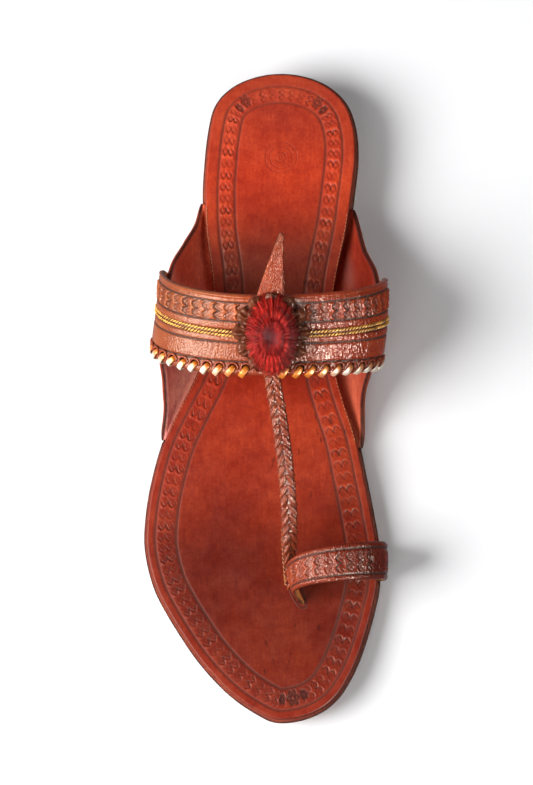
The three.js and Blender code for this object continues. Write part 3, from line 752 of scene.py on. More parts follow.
def sole_rings(spacing, grow=0.0):
    """Rows round the sole: edge point, outward normal, arc length and spine point."""
    station = INSOLE_LENGTH * ease(np.linspace(0, 1, FINE_STEPS))
    medial = np.stack([insole_edge("medial", station), -station], -1)
    lateral = np.stack([insole_edge("lateral", station), -station], -1)[::-1]
    loop = np.concatenate([medial[:-1], lateral[:-1]])
    ahead = np.roll(loop, -1, 0) - loop
    arc = np.concatenate([[0], np.cumsum(np.linalg.norm(ahead, axis=1))])
    count = int(arc[-1] / spacing)
    at = np.linspace(0, arc[-1], count, endpoint=False)
    closed = np.concatenate([loop, loop[:1]])
    edge = np.stack([np.interp(at, arc, closed[:, k]) for k in (0, 1)], -1)
    window = max(3, int(SMOOTHED_OVER / spacing)) | 1  # an odd number of rows
    tangent = np.roll(edge, -1, 0) - np.roll(edge, 1, 0)
    kernel = np.hanning(window + 2)[1:-1]
    kernel /= kernel.sum()
    padded = np.concatenate([tangent[-window:], tangent, tangent[:window]])
    averaged = np.stack([np.convolve(padded[:, k], kernel, "same") for k in (0, 1)], -1)
    tangent = unit(averaged[window:-window])
    normal = np.stack([-tangent[:, 1], tangent[:, 0]], -1)
    if np.mean(np.sum(normal * (edge - edge.mean(0)), 1)) < 0:
        normal = -normal
    edge = edge + normal * grow
    spine_station = np.clip(np.round(-edge[:, 1] / SPINE_STEP) * SPINE_STEP, *SPINE_ENDS)
    middle = (insole_edge("lateral", spine_station) + insole_edge("medial", spine_station)) / 2
    spine = np.stack([middle, -spine_station], -1)
    return edge, normal, at, spine


def sole_piece(name, rings, profile, height_at, tool, tint, finish, layers_at):
    """A sole layer. Each profile row is (inset or None, share to the spine or None, level).

    The level is 0 at the layer's underside and 1 at its top. Every function given here takes what
    it needs of the distance along the edge, the inset from it, the level and the station.
    """
    edge, normal, arc, spine = rings
    rows, columns = len(edge), len(profile)
    plan = np.zeros((rows, columns, 2))
    level = np.zeros((rows, columns))
    inset = np.zeros((rows, columns))
    reach = max(p[0] for p in profile if p[0] is not None)
    inner = edge - normal * reach
    for j, (into, share, z) in enumerate(profile):
        plan[:, j] = edge - normal * into if into is not None else mix(inner, spine, share)
        inset[:, j] = into if into is not None else reach + 1
        level[:, j] = z
    station = -plan[..., 1]
    along = np.repeat(arc[:, None], columns, 1)
    total = arc[-1] + arc[1]
    height, groove = tool(along, inset, total, level, station, plan[..., 0])
    z = height_at(station, level, inset) + height
    points = to_world(np.concatenate([plan, z[..., None]], -1)).reshape(-1, 3)
    layers = {key: values.ravel() for key, values in layers_at(level, inset, groove).items()}
    dye = tint(station, inset).reshape(-1, 3)
    return build_mesh(name, points, grid_faces(rows, columns, wrap=True), layers, dye, finish)


insole_rings = sole_rings(BORDER_CELL)
insole_rows = len(insole_rings[0])
print("insole perimeter:", round(insole_rows * BORDER_CELL), "mm in", insole_rows, "rows")

# %% The insole's profile, tooling and dye
EDGE_INSETS = [0.0, 0.12, 0.35, 0.75]
BORDER_REACH = 12.6
UNDER = -0.01  # the level just below the insole's underside
border_steps = np.arange(1.1, BORDER_REACH + 0.01, BORDER_CELL)

# From the spine out over the top, down the wall and back to the spine underneath.
INSOLE_PROFILE = [(None, share, 1.0) for share in np.linspace(0.06, 1.0, 11)[::-1]]
INSOLE_PROFILE += [(inset, None, 1.0) for inset in [*EDGE_INSETS, *border_steps][::-1]]
INSOLE_PROFILE += [(0.0, None, level) for level in (0.75, 0.5, 0.25, 0.0)]
INSOLE_PROFILE += [(0.12, None, UNDER), (3.0, None, UNDER), (None, 1.0, UNDER)]


def insole_height(station, level, inset):
    edge_drop = 0.55 * (1 - rounded(inset, 0.9)) * (level >= 1.0)
    body = np.clip(level, 0, 1) * INSOLE_THICK
    return lift(station) + OUTSOLE_THICK + LAYER_GAP + body - edge_drop


TOE_FLOWER = 9.0  # from the toe tip towards the inner side
HEEL_FLOWERS = (20.0, 17.5)  # from the back of the heel, inner and outer side
INNER_LINE = 11.4
OUTER_LINE = (4.8, 3.3)  # at the heel and at the toe


def insole_tool(arc, inset, total, level, station, x):
    on_top = (level >= 1.0) & (inset <= BORDER_REACH)
    outer = mix(*OUTER_LINE, smooth(station, 60, 150))
    pitch = total / round(total / INSOLE_PITCH)
    low = np.where(on_top, outer + 1.1, 5.0)
    height, groove = stamp_row(arc, inset, low, INNER_LINE - 1.2, pitch)
    from_heel = np.minimum(arc, total - arc)
    toe = total * 0.5 - TOE_FLOWER
    for at, across, radius in [
        (toe, 7.6, 3.0), (toe - 5.8, 7.6, 1.9), (toe + 5.8, 7.6, 1.9),
        (HEEL_FLOWERS[0], 7.2, 2.5), (HEEL_FLOWERS[0] + 5.4, 8.0, 2.0),
        (total - HEEL_FLOWERS[1], 7.2, 2.5), (total - HEEL_FLOWERS[1] - 5.4, 8.0, 2.0),
    ]:
        h, g, area = flower(arc, inset, at, across, radius)
        height, groove = mix(height, h, area), mix(groove, 1.25 * g + 0.15, area)
    for at in (outer, INNER_LINE):
        h, g = line_cut(inset, at)
        height, groove = height + h, deeper(groove, 0.9 * g)
    fade = np.where(on_top, 0.6 + 0.4 * smooth(from_heel, 18, 34), 0)
    return height * fade, np.clip(groove * fade, -1, 1)


FIELD_DYE_AND_SHADE = [  # station, colour of the field there; darker just behind and under the band as its painted shadow, and darker at the ball
    (0, linear(156, 54, 35)), (40, linear(179, 54, 29)), (53, linear(161, 49, 27)),
    (64, linear(135, 46, 28)), (71, linear(112, 41, 29)), (84, linear(103, 39, 29)),
    (108, linear(140, 40, 20)), (120, linear(146, 39, 18)), (129, linear(150, 45, 23)),
    (155, linear(142, 44, 25)), (185, linear(103, 28, 15)), (210, linear(101, 28, 16)),
    (248, linear(121, 39, 25)),
]


RIM_DYE = linear(160, 52, 32)


def insole_dye_and_shade(station, inset):
    keys = [row[0] for row in FIELD_DYE_AND_SHADE]
    field = np.stack([np.interp(station, keys, [row[1][k] for row in FIELD_DYE_AND_SHADE]) for k in range(3)], -1)
    return mix(field, RIM_DYE, 0.35 * (1 - smooth(inset, 3.0, 6.0))[..., None])


def insole_layers(level, inset, groove):
    wall = ((level < 1.0) & (level > 0)).astype(float)
    rim = np.maximum(wall * 0.8, 0.75 * (1 - smooth(inset, 0.0, 0.5)) * (level >= 1.0))
    return {"groove": groove, "edge": rim, "flesh": (level < 0).astype(float) * 0.8}


insole = sole_piece("insole_leather", insole_rings, INSOLE_PROFILE, insole_height,
                    insole_tool, insole_dye_and_shade, INSOLE_FINISH, insole_layers)

# %% [markdown]
# ## The outsole and heel
# Under the insole lies a stiff outsole that stands about a millimetre proud all round. Its edge shows
# the layers of leather pressed together, with a thin line of dark edge paint. The ears and the end of
# the toe loop are tucked into its top, so its top is lower there. The two heel lifts are flat pieces
# whose shape is already right; they only need the finish.

# %% Outsole
# The edge's section, from its top down: inset and height. The steps are the pressed layers.
OUTSOLE_EDGE = [(0.0, 5.0), (0.12, 4.75), (0.12, 3.7), (-0.1, 3.45), (0.1, 3.2), (0.08, 1.8),
                (-0.12, 1.6), (0.08, 1.4), (0.05, 0.35), (0.25, 0.08)]


LAYER_LINES = (3.45, 1.6)
POCKET_REACH, POCKET_DEPTH, POCKET_FLOOR = 10.5, 2.7, 2.3
POCKET_ROOM = 0.7
LOOP_POCKET = (180.7, 196.1, 8.8)  # first and last station, reach


def outsole_profile():
    rows = [(None, s, 1.0) for s in np.linspace(1, 0.1, 6)]
    rows += [(d, None, 1.0) for d in (10.6, 10.3, 7.0, 4.0, 2.0, 1.3, 0.6, 0.3)]
    rows += [(inset, None, z / OUTSOLE_THICK) for inset, z in OUTSOLE_EDGE]
    return rows + [(d, None, 0.0) for d in (0.8, 3.0)] + [(None, s, 0.0) for s in (0.3, 1.0)]


def tucked(station, x, inset):
    """True where an ear or the toe loop is tucked into the outsole's top."""
    medial = x >= 0
    rear = np.where(medial, EAR_SPAN["medial"][0], EAR_SPAN["lateral"][0]) - POCKET_ROOM
    front = np.where(medial, EAR_SPAN["medial"][1], EAR_SPAN["lateral"][1]) + POCKET_ROOM
    in_ear = (station > rear) & (station < front)
    first, last, reach = LOOP_POCKET
    in_loop = medial & (station > first) & (station < last) & (inset < reach)
    return (in_ear | in_loop) & (inset < POCKET_REACH)


def outsole_height(station, level, inset):
    return lift(station) + level * OUTSOLE_THICK


def outsole_tool(arc, inset, total, level, station, x):
    drop = np.where((level > 0.4) & tucked(station, x, inset), POCKET_DEPTH, 0)
    room = np.maximum(0, level * OUTSOLE_THICK - POCKET_FLOOR)
    return -np.minimum(drop, room), np.zeros_like(arc)


def outsole_dye(station, inset):
    return np.broadcast_to(linear(150, 66, 48), (*station.shape, 3))


def outsole_layers(level, inset, groove):
    z = level * OUTSOLE_THICK
    side = (inset < 0.45).astype(float)
    painted = side * np.maximum(smooth(z, 3.4, 3.8), 0.55 * smooth(-z, -1.7, -1.5))
    lines = sum(np.exp(-(((z - at) / 0.2) ** 2)) for at in LAYER_LINES)
    raw = 0.25 * side * (z < 3.4) + 0.5 * (1 - side) * (z < 0.1)
    return {"groove": side * lines, "edge": painted, "flesh": raw}


outsole = sole_piece("outsole_leather", sole_rings(0.9, OUTSOLE_LIP), outsole_profile(),
                     outsole_height, outsole_tool, outsole_dye, SOLE_FINISH, outsole_layers)
HEEL_FINISH = leather_finish("heel lift leather", mottle=0.2, streak=0.15, pebble=0.2,
                             rough=(0.5, 0.7), coat=0.05, plain=(112, 52, 40))
for name in ("heel_lift_1", "heel_lift_2"):
    heel_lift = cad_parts[name]
    heel_lift.data.materials.clear()
    heel_lift.data.materials.append(HEEL_FINISH)

# %% [markdown]
# ## The ears
# An ear is a flap of the sole's own leather, caught between the layers, that stands up and out to
# carry the instep band. It curves like a petal: flat at its root, upright at its free edge.

# %% Ears
EAR_REACH = {"lateral": column(EAR_EDGE, 1), "medial": column(EAR_EDGE, 2)}
EAR_RISE = column(EAR_EDGE, 3)


def ear_point(side, station, climb, push=0.0):
    """A point of the ear's middle, pushed outwards. It climbs from -1, tucked in, to 1, its edge."""
    rear, front = EAR_SPAN[side]
    station, climb = np.broadcast_arrays(np.asarray(station, float), np.asarray(climb, float))
    share = np.clip((station - rear) / (front - rear), 0, 1)
    reach, rise = EAR_REACH[side](share), EAR_RISE(share)
    base = lift(station) + OUTSOLE_THICK - EAR_THICK / 2
    edge = insole_edge(side, station)

    def bend(t):
        """A cubic curve that leaves the sole level and ends upright."""
        b, c, d = 3 * t * (1 - t) ** 2, 3 * t * t * (1 - t), t**3
        return 0.62 * reach * b + reach * (c + d), rise * (0.42 * c + d)

    t = np.clip(climb, 0, 1)
    out, up = bend(t)
    ahead, behind = bend(np.minimum(1, t + 1e-3)), bend(np.maximum(0, t - 1e-3))
    tx, tz = ahead[0] - behind[0], ahead[1] - behind[1]
    length = np.maximum(np.hypot(tx, tz), 1e-9)
    flat = climb <= 0
    x = edge + SIGN[side] * np.where(flat, climb * EAR_ROOT, out + push * tz / length)
    z = base + np.where(flat, -push, up - push * tx / length)
    return np.stack([x, -station, z], -1)


def ear_surface(side):
    rear, front = EAR_SPAN[side]
    return lambda u, v: ear_point(side, mix(rear, front, u), mix(-1, 1, v))


# The lateral ear is painted far lighter than the medial one, and each ear lighter towards the toe:
# partly the leather's own tone, partly painted light on inner faces that the lamps leave in shade.
EAR_DYE_AND_LIGHT = {  # towards the heel and towards the toe
    "lateral": (linear(214, 90, 64), linear(250, 158, 140)),
    "medial": (linear(140, 44, 28), linear(184, 82, 60)),
}
EAR_OUTSIDE = linear(158, 56, 34)


def ear_dye_and_light(side):
    return lambda a, b, long, wide: mix(*EAR_DYE_AND_LIGHT[side], smooth(a, 30, 46)[..., None])


ears = {}
for side in ("lateral", "medial"):
    ears[side] = strip(
        f"ear_{side}_leather", ear_surface(side), 96, 36, EAR_THICK, EAR_FINISH, ear_dye_and_light(side),
        cell=1.0, up=SIGN[side], edge_dark=1.0, extra_edge=0.5, raw_back=0.1, back_dye=EAR_OUTSIDE)

# %% [markdown]
# ## The instep band
# The band is the widest strap and the most worked. From its heel-side edge to its toe-side edge run
# a turned bead, a row of stamps between two lines, a channel for two gold cords, a plain grained
# field and a row of punched holes for the lacing. The heights below are that list, in order.

# %% Band surface
def band_point(along, across):
    """The band's middle surface: two legs that lie on the ears and an arch between them."""
    along, across = np.broadcast_arrays(np.asarray(along, float), np.asarray(across, float))
    sides = []
    for side in ("lateral", "medial"):
        from_end = np.clip(2 * along if side == "lateral" else 2 * (1 - along), 0, 1)
        end = mix(BAND_TOE[side], BAND_HEEL[side], across)
        crest_station = mix(BAND_TOE["crest"], BAND_HEEL["crest"], across)
        crest = lift(crest_station) + INSOLE_TOP + mix(BAND_TOE["rise"], BAND_HEEL["rise"], across)
        climb = mix(BAND_DROP, 1, np.clip(from_end / BAND_ON_EAR, 0, 1))
        leg = ear_point(side, end - BAND_LEAN * (1 - climb), climb, EAR_TO_BAND)
        top = ear_point(side, end, np.ones_like(end), EAR_TO_BAND)
        turn = np.clip((from_end - BAND_ON_EAR) / (1 - BAND_ON_EAR), 0, 1) * np.pi / 2
        arch = np.stack([
            mix(top[..., 0], BAND_CREST_X, 1 - np.cos(turn)),
            mix(top[..., 1], -crest_station, np.sin(turn)),
            mix(top[..., 2], crest, np.sin(turn)),
        ], -1)
        sides.append(np.where((from_end < BAND_ON_EAR)[..., None], leg, arch))
    return np.where((along < 0.5)[..., None], sides[0], sides[1])


def over_band(along, across, distance):
    """Points at a distance above the band's middle surface, with its outward normal."""
    du = band_point(along + 1e-3, across) - band_point(along - 1e-3, across)
    dv = band_point(along, across + 1e-3) - band_point(along, across - 1e-3)
    normal = unit(np.cross(du, dv))
    return band_point(along, across) + normal * np.asarray(distance)[..., None], normal


BAND_WIDTH = float(np.linalg.norm(band_point(0.5, 0.0) - band_point(0.5, 1.0)))
CREST_ACROSS = 0.57
BAND_CREST = [band_point(along, CREST_ACROSS) for along in (0.45, 0.55)]
BAND_LENGTH = float(np.linalg.norm(BAND_CREST[0] - BAND_CREST[1])) / 0.1  # at the crest's slope
print("band width:", round(BAND_WIDTH, 1), "mm")

# %% Band tooling
BAND_LINES = (3.2, 10.4, 18.4, 25.4)  # millimetres from the heel-side edge
BAND_STAMPS = (3.6, 10.0)
CORD_PLACES = (13.9, 15.4)
HOLE_ROW = 27.5
STAMP_PITCH = 4.4
STAMP_DYE = 1.35  # dye gathers in the band's stamps
HOLE_PITCH = 5.0
HOLE_SIZE = (1.35, 1.05)  # half its length along the band and across it
HOLE_DEPTH = 1.3
BEAD = (0.8, 1.7)  # the turned bead's crest and the groove behind it


def from_centre(a):
    """Distance along a strap from its middle row."""
    return a - a[a.shape[0] // 2]


def band_tool(a, b, long, wide):
    s = from_centre(a)
    f = (1 - b / wide) * BAND_WIDTH
    height, groove = stamp_row(s, f, *BAND_STAMPS, STAMP_PITCH, depth=0.9, line=0.4, filled=0.7)
    groove = np.where(groove > 0, np.minimum(1.0, STAMP_DYE * groove), groove)
    for at in BAND_LINES:
        h, g = line_cut(f, at, 0.34, 0.38)
        height, groove = height + h, deeper(groove, g)
    for at in CORD_PLACES:
        cut = np.exp(-(((f - at) / 0.62) ** 2))
        height, groove = height - 0.45 * cut, deeper(groove, 0.9 * cut)
    bead = np.exp(-(((f - BEAD[0]) / 0.6) ** 2)) - 0.8 * np.exp(-(((f - BEAD[1]) / 0.4) ** 2))
    height = height + 0.35 * bead
    along_hole = HOLE_PITCH * (frac(s / HOLE_PITCH + 0.5) - 0.5) / HOLE_SIZE[0]
    hole = smooth(1.25 - np.hypot((f - HOLE_ROW) / HOLE_SIZE[1], along_hole), 0.0, 0.4)
    height = height * (1 - hole) - HOLE_DEPTH * hole
    # The punched holes are shallow pits that the groove layer paints dark: painted shade where a real
    # hole would be open.
    return height, np.where(hole > 0.05, 1.3 * hole, groove)


def band_dye_and_sheen(a, b, long, wide):
    s = from_centre(a)
    # The band is painted more tan towards its lateral end and more orange towards its medial end:
    # partly the leather's own tone, partly a painted sheen of the window on the left.
    base = mix(linear(142, 70, 38), linear(170, 60, 26), smooth(s, -34, 16)[..., None])
    f = (1 - b / wide) * BAND_WIDTH
    return mix(base, linear(120, 44, 28), (0.4 * smooth(f, 25, 27))[..., None])


band = strip("instep_band_leather", band_point, 156, BAND_WIDTH, BAND_THICK, BAND_FINISH, band_dye_and_sheen,
             cell=0.37, tool=band_tool, edge_dark=0.55, extra_edge=0.3)

# %% [markdown]
# ## Geometry Nodes for what repeats
# Cord, lacing, braid links and stitches are one small shape set again and again along a path. The
# tree turns the path into a curve, spaces points evenly along it, turns each point so that its Z axis
# faces out of the leather and its X axis runs along the path, and sets the shape there. A second
# form takes loose points that bring their own heading, for shapes that belong at the punched holes.
# The sizes are named inputs, and the small random turn has a fixed seed.

# %% A tree that sets shapes along a path
def new_tree(name, sockets):
    tree = bpy.data.node_groups.new(name, "GeometryNodeTree")
    tree.interface.new_socket("Geometry", in_out="OUTPUT", socket_type="NodeSocketGeometry")
    tree.interface.new_socket("Geometry", in_out="INPUT", socket_type="NodeSocketGeometry")
    for key, kind in sockets:
        tree.interface.new_socket(key, in_out="INPUT", socket_type="NodeSocket" + kind)
    return tree


def random_between(n, low, high, seed):
    """A random number for each point. Sockets 2, 3 and 8 are the limits and the seed."""
    return n.add("FunctionNodeRandomValue", {2: low, 3: high, 8: seed}, data_type="FLOAT").outputs[1]


def turned(n, outward, heading, slant):
    """Stands a shape's Z axis along `outward` and its X axis along `heading`, then slants it."""
    turn = n.add("FunctionNodeAxesToRotation", {
        "Primary Axis": outward, "Secondary Axis": heading,
    }, primary_axis="Z", secondary_axis="X").outputs[0]
    local = n.add("FunctionNodeEulerToRotation", {
        "Euler": n.add("ShaderNodeCombineXYZ", {"Z": slant}).outputs[0],
    }).outputs[0]
    return n.add("FunctionNodeRotateRotation", {"Rotation": turn, "Rotate By": local},
                 rotation_space="LOCAL").outputs[0]


def set_shapes(n, source, result, spots, turn, scale):
    """The end of every tree: a shape at each spot, as real mesh, smooth, with its finish."""
    shape = n.add("GeometryNodeObjectInfo", {"Object": source.outputs["Shape"]}).outputs["Geometry"]
    placed = n.add("GeometryNodeInstanceOnPoints", {
        "Points": spots, "Instance": shape, "Rotation": turn, "Scale": scale,
    }).outputs[0]
    real = n.add("GeometryNodeRealizeInstances", {"Geometry": placed}).outputs[0]
    soft = n.add("GeometryNodeSetShadeSmooth", {"Geometry": real}).outputs[0]
    done = n.add("GeometryNodeSetMaterial", {
        "Geometry": soft, "Material": source.outputs["Finish"],
    }).outputs[0]
    n.set(result, "Geometry", done)


def shape_tree(name, along_path):
    """Sets a shape on a path at even spacing, or on loose points that carry their own heading."""
    numbers = [(key, "Float") for key in ("Spacing", "Length", "Width", "Height", "Slant", "Wobble")]
    tree = new_tree(name, numbers + [("Shape", "Object"), ("Finish", "Material")])
    n = Nodes(tree)
    source, result = n.add("NodeGroupInput"), n.add("NodeGroupOutput")
    size = source.outputs

    def stored(key):
        return n.add("GeometryNodeInputNamedAttribute", {"Name": key},
                     data_type="FLOAT_VECTOR").outputs[0]

    if along_path:
        curve = n.add("GeometryNodeMeshToCurve", {"Mesh": size["Geometry"]}).outputs[0]
        spots = n.add("GeometryNodeResampleCurve", {
            "Curve": curve, "Length": size["Spacing"],
        }, mode="LENGTH").outputs[0]
        heading = n.add("GeometryNodeInputTangent").outputs[0]
    else:
        spots, heading = size["Geometry"], stored("heading")
    wobble = random_between(n, -1.0, 1.0, seed=7)
    slant = n.math("ADD", size["Slant"], n.math("MULTIPLY", wobble, size["Wobble"]))
    scale = n.add("ShaderNodeCombineXYZ", {
        "X": size["Length"], "Y": size["Width"], "Z": size["Height"],
    }).outputs[0]
    set_shapes(n, source, result, spots, turned(n, stored("facing"), heading, slant), scale)
    return tree


def grow(name, tree, holder_mesh, values):
    """Run a tree on a mesh and keep its result as a plain mesh object.

    A modifier knows its inputs by their identifiers, so the names are looked up first.
    """
    holder = link(name + "_path", holder_mesh)
    modifier = holder.modifiers.new("grow", "NODES")
    modifier.node_group = tree
    inputs = [item for item in tree.interface.items_tree if item.in_out == "INPUT"]
    identifier = {item.name: item.identifier for item in inputs}
    for key, value in values.items():
        modifier[identifier[key]] = value
    graph = bpy.context.evaluated_depsgraph_get()
    mesh = bpy.data.meshes.new_from_object(holder.evaluated_get(graph), depsgraph=graph)
    holder.modifiers.remove(modifier)
    bpy.data.objects.remove(holder)
    made = link(name, mesh)
    print(f"{name}: {triangle_count(mesh)} triangles")
    return made


def store_directions(mesh, **layers):
    for key, values in layers.items():
        layer = mesh.attributes.new(key, "FLOAT_VECTOR", "POINT")
        layer.data.foreach_set("vector", np.ravel(values))


def path_mesh(name, paths):
    """Polylines with the outward direction `facing` stored at each point."""
    points, facing, edges = [], [], []
    for line, normal in paths:
        first = len(points)
        points += to_world(line).tolist()
        facing += np.broadcast_to(normal, np.shape(line)).tolist()
        edges += [(first + i, first + i + 1) for i in range(len(line) - 1)]
    mesh = bpy.data.meshes.new(name)
    mesh.from_pydata(points, edges, [])
    store_directions(mesh, facing=facing)
    return mesh


def spot_mesh(name, spots, facing, heading):
    """Loose points with the outward direction and the heading stored at each."""
    mesh = bpy.data.meshes.new(name)
    mesh.from_pydata(to_world(spots).tolist(), [], [])
    store_directions(mesh, facing=facing, heading=heading)
    return mesh


def sizes(spacing=1.0, length=1.0, width=1.0, height=1.0, slant=0.0, wobble=0.0):
    """Inputs of a shape tree: spacing in millimetres, scales, and turns in degrees."""
    return {"Spacing": spacing / 1000, "Length": length, "Width": width, "Height": height,
            "Slant": math.radians(slant), "Wobble": math.radians(wobble)}


PATH_TREE = shape_tree("shapes along a path", True)
SPOT_TREE = shape_tree("shapes at points", False)
SHAPES = []


def shape_object(name, points, faces, tint):
    """A small shape, a millimetre or so across, that a tree repeats. It is removed at the end."""
    mesh = bpy.data.meshes.new(name)
    mesh.from_pydata((np.asarray(points) / 1000).tolist(), [], faces)
    store_tint(mesh, tint)
    made = link(name, mesh)
    SHAPES.append(made)
    return made


def tube_shape(name, line, widths, heights, tint, sides=6, across=(0, 1, 0)):
    """A closed bar along a line, elliptical in section. `across` is the way its width runs."""
    line = np.asarray(line, float)
    tangent = unit(np.gradient(line, axis=0))
    across = np.broadcast_to(np.asarray(across, float), line.shape)
    side = unit(across - tangent * np.sum(across * tangent, -1, keepdims=True))
    rise = np.cross(tangent, side)
    angle = 2 * np.pi * np.arange(sides) / sides
    wide = side * np.asarray(widths)[:, None]
    high = rise * np.asarray(heights)[:, None]
    ring = (np.cos(angle)[:, None] * wide[:, None] + np.sin(angle)[:, None] * high[:, None]) / 2
    points = (line[:, None] + ring).reshape(-1, 3)
    faces = []
    for i in range(len(line) - 1):
        for j in range(sides):
            a, b = i * sides + j, i * sides + (j + 1) % sides
            faces.append((a, b, b + sides, a + sides))
    faces.append(tuple(range(sides))[::-1])
    faces.append(tuple((len(line) - 1) * sides + j for j in range(sides)))
    return shape_object(name, points, faces, tint)


# %% [markdown]
# ## Gold cord and lacing
# Gold cord is metal foil spun round a thread, then two such strands twisted together: seen from above
# it is a row of slanted bright grains. The lacing is a flat metallic ribbon that comes up through each
# punched hole and wraps over the band's toe-side edge. A small rolled lip of leather stands round the
# far side of every hole.

# %% Gold finish
def metal_finish(name, color, shade, rough, metallic):
    made, n, shader, where = new_finish(name)
    fibre = noise(n, where, 2600.0, 2.0, 0.5)
    tarnish = n.ramp(noise(n, where, 300.0, 3.0, 0.5), ((0.4, 0.7), (0.0, 0.8)))
    tint = n.add("ShaderNodeAttribute", attribute_name="tint").outputs["Color"]
    worn = n.mix(tarnish, tuple(linear(*color)), tuple(linear(*shade)))
    bump = n.add("ShaderNodeBump", {"Height": fibre, "Distance": 0.00008, "Strength": 0.6})
    for key, value in (
        ("Base Color", n.mix(1.0, worn, tint, "MULTIPLY")),
        ("Roughness", n.ramp(fibre, (NOISE_RANGE, rough))), ("Normal", bump.outputs["Normal"]),
        ("Metallic", metallic), ("Specular IOR Level", 0.9),
    ):
        n.set(shader, key, value)
    return made


GOLD_FINISH = metal_finish("gold cord", (255, 190, 84), (126, 60, 20), (0.26, 0.4), 0.25)
LACE_FINISH = metal_finish("metallic lace", (255, 255, 255), (238, 214, 190), (0.25, 0.45), 0.35)
WHITE = (1.0, 1.0, 1.0)

# %% Gold cords on the band
cord_u = np.linspace(0.01, 0.99, 240)


def band_line(from_heel_edge, lifted):
    """A line along the band, with its outward direction at each point."""
    return over_band(cord_u, np.full_like(cord_u, 1 - from_heel_edge / BAND_WIDTH),
                     np.full_like(cord_u, BAND_THICK / 2 + lifted))


grain_line = [(x, 0, 0) for x in (-0.9, -0.55, 0, 0.55, 0.9)]
grain = tube_shape("cord_grain", grain_line, (0.1, 0.4, 0.5, 0.4, 0.1),
                   (0.1, 0.45, 0.6, 0.45, 0.1), WHITE)
cord_paths = path_mesh("cord_paths", [band_line(f, 0.15) for f in CORD_PLACES])
gold_cords = grow("gold_cords", PATH_TREE, cord_paths, {
    **sizes(spacing=1.4, length=1.1, width=1.55, height=1.3, slant=33, wobble=9),
    "Shape": grain, "Finish": GOLD_FINISH,
})

# %% Lacing and hole lips
EDGE_GAP = BAND_WIDTH - HOLE_ROW
LACE_TURN = [  # along the band, across it, height, width, 1 where the hole's shade falls
    (0.5, 0.55, -1.3, 1.5, 1.0), (0.4, 0.3, -0.25, 1.8, 1.0), (0.1, -0.1, 0.3, 2.1, 1.0),
    (-0.7, -1.1, 0.5, 2.3, 0.75), (-1.5, -2.1, 0.5, 2.3, 0.1),
    (-2.2, -EDGE_GAP - 0.05, -0.05, 2.2, 0), (-2.5, -EDGE_GAP - 0.45, -1.2, 2.1, 0),
    (-2.4, -EDGE_GAP - 0.1, -2.6, 1.9, 0), (-1.8, -2.0, -3.0, 1.8, 0),
    (-1.0, -1.0, -3.0, 1.6, 0), (-0.4, -0.3, -2.2, 1.4, 0),
]
LACE_SIDES = 8
LACE_THICK = 0.34
lace_shade = np.repeat([row[4] for row in LACE_TURN], LACE_SIDES)[:, None] * np.ones(3)
lace = tube_shape("lace_turn", [row[:3] for row in LACE_TURN], [row[3] for row in LACE_TURN],
                  [LACE_THICK] * len(LACE_TURN), lace_shade, LACE_SIDES, across=(1, -0.7, 0))

LIP_STEPS = 13
lip_turn = np.radians(np.linspace(-35, 215, LIP_STEPS))
lip_line = np.stack([1.9 * np.cos(lip_turn), 1.65 * np.sin(lip_turn) + 0.1,
                     np.full_like(lip_turn, 0.15)], -1)
lip_width, lip_height = [[0.4, 0.7, *[middle] * (LIP_STEPS - 4), 0.7, 0.4] for middle in (0.9, 0.85)]
hole_lip = tube_shape("hole_lip", lip_line, lip_width, lip_height, linear(150, 66, 42),
                      across=(0, 0, 1))

hole_row, hole_face = band_line(HOLE_ROW, 0.0)


def evenly_along(line, face, pitch, keep):
    """Spots at each multiple of a pitch from the path's middle, with their facing and heading."""
    arc = np.concatenate([[0], np.cumsum(np.linalg.norm(np.diff(line, axis=0), axis=1))])
    middle = np.interp(0.5, cord_u, arc)
    steps = middle + np.arange(-40, 40) * pitch
    steps = steps[(steps > 2.0) & (steps < arc[-1] - 2.0)]
    at = [np.stack([np.interp(steps, arc, values[:, k]) for k in range(3)], -1)
          for values in (line, unit(face), unit(np.gradient(line, axis=0)))]
    kept = keep(at[0])
    return [values[kept] for values in at]


STRAP_ROOM = 5.0  # no lacing this near the strap that comes from under the band
STRAP_START_X = -1.8
hole_spots = evenly_along(hole_row, hole_face, HOLE_PITCH,
                          lambda points: abs(points[:, 0] - STRAP_START_X) > STRAP_ROOM)
laces = grow("laces", SPOT_TREE, spot_mesh("lace_spots", *hole_spots), {
    **sizes(wobble=5), "Shape": lace, "Finish": LACE_FINISH,
})
hole_lips = grow("hole_lips", SPOT_TREE, spot_mesh("lip_spots", *hole_spots), {
    **sizes(wobble=8), "Shape": hole_lip, "Finish": BAND_FINISH,
})

# %% The lace's two tones
# The ribbon is gold by the strap and worn to silver towards the band's ends. Where the hole's shade
# falls on it, it stays gold: painted shade.
shade_of_hole = np.empty(len(laces.data.vertices) * 4, np.float32)
laces.data.attributes["tint"].data.foreach_get("color", shade_of_hole)
from_middle = np.abs(read_points(laces.data)[:, 0] * 1000 - ORIGIN_X - BAND_CREST_X)
pale = smooth(from_middle, 14, 30) * (1 - shade_of_hole.reshape(-1, 4)[:, 0])
store_tint(laces.data, mix(linear(226, 130, 30), linear(255, 246, 228), pale[:, None]))
print("lace turns:", len(hole_spots[0]))

# %% [markdown]
# ## The toe loop
# A narrower strap rises from the slit between the first two toes, bends over the big toe and goes down
# round the insole's edge into the seam. Its middle row is stamped and its raw side shows where it
# leaves the slit. The slit's lips are pressed up by the strap.

# %% Toe loop
LOOP = [column(LOOP_PATH, k) for k in range(1, 6)]
LOOP_WIDTH = 14.0
LOOP_STAMPS, LOOP_LINES = (3.2, 10.8), (2.2, 11.8)  # from the toe-side edge
LOOP_PITCH = 3.9


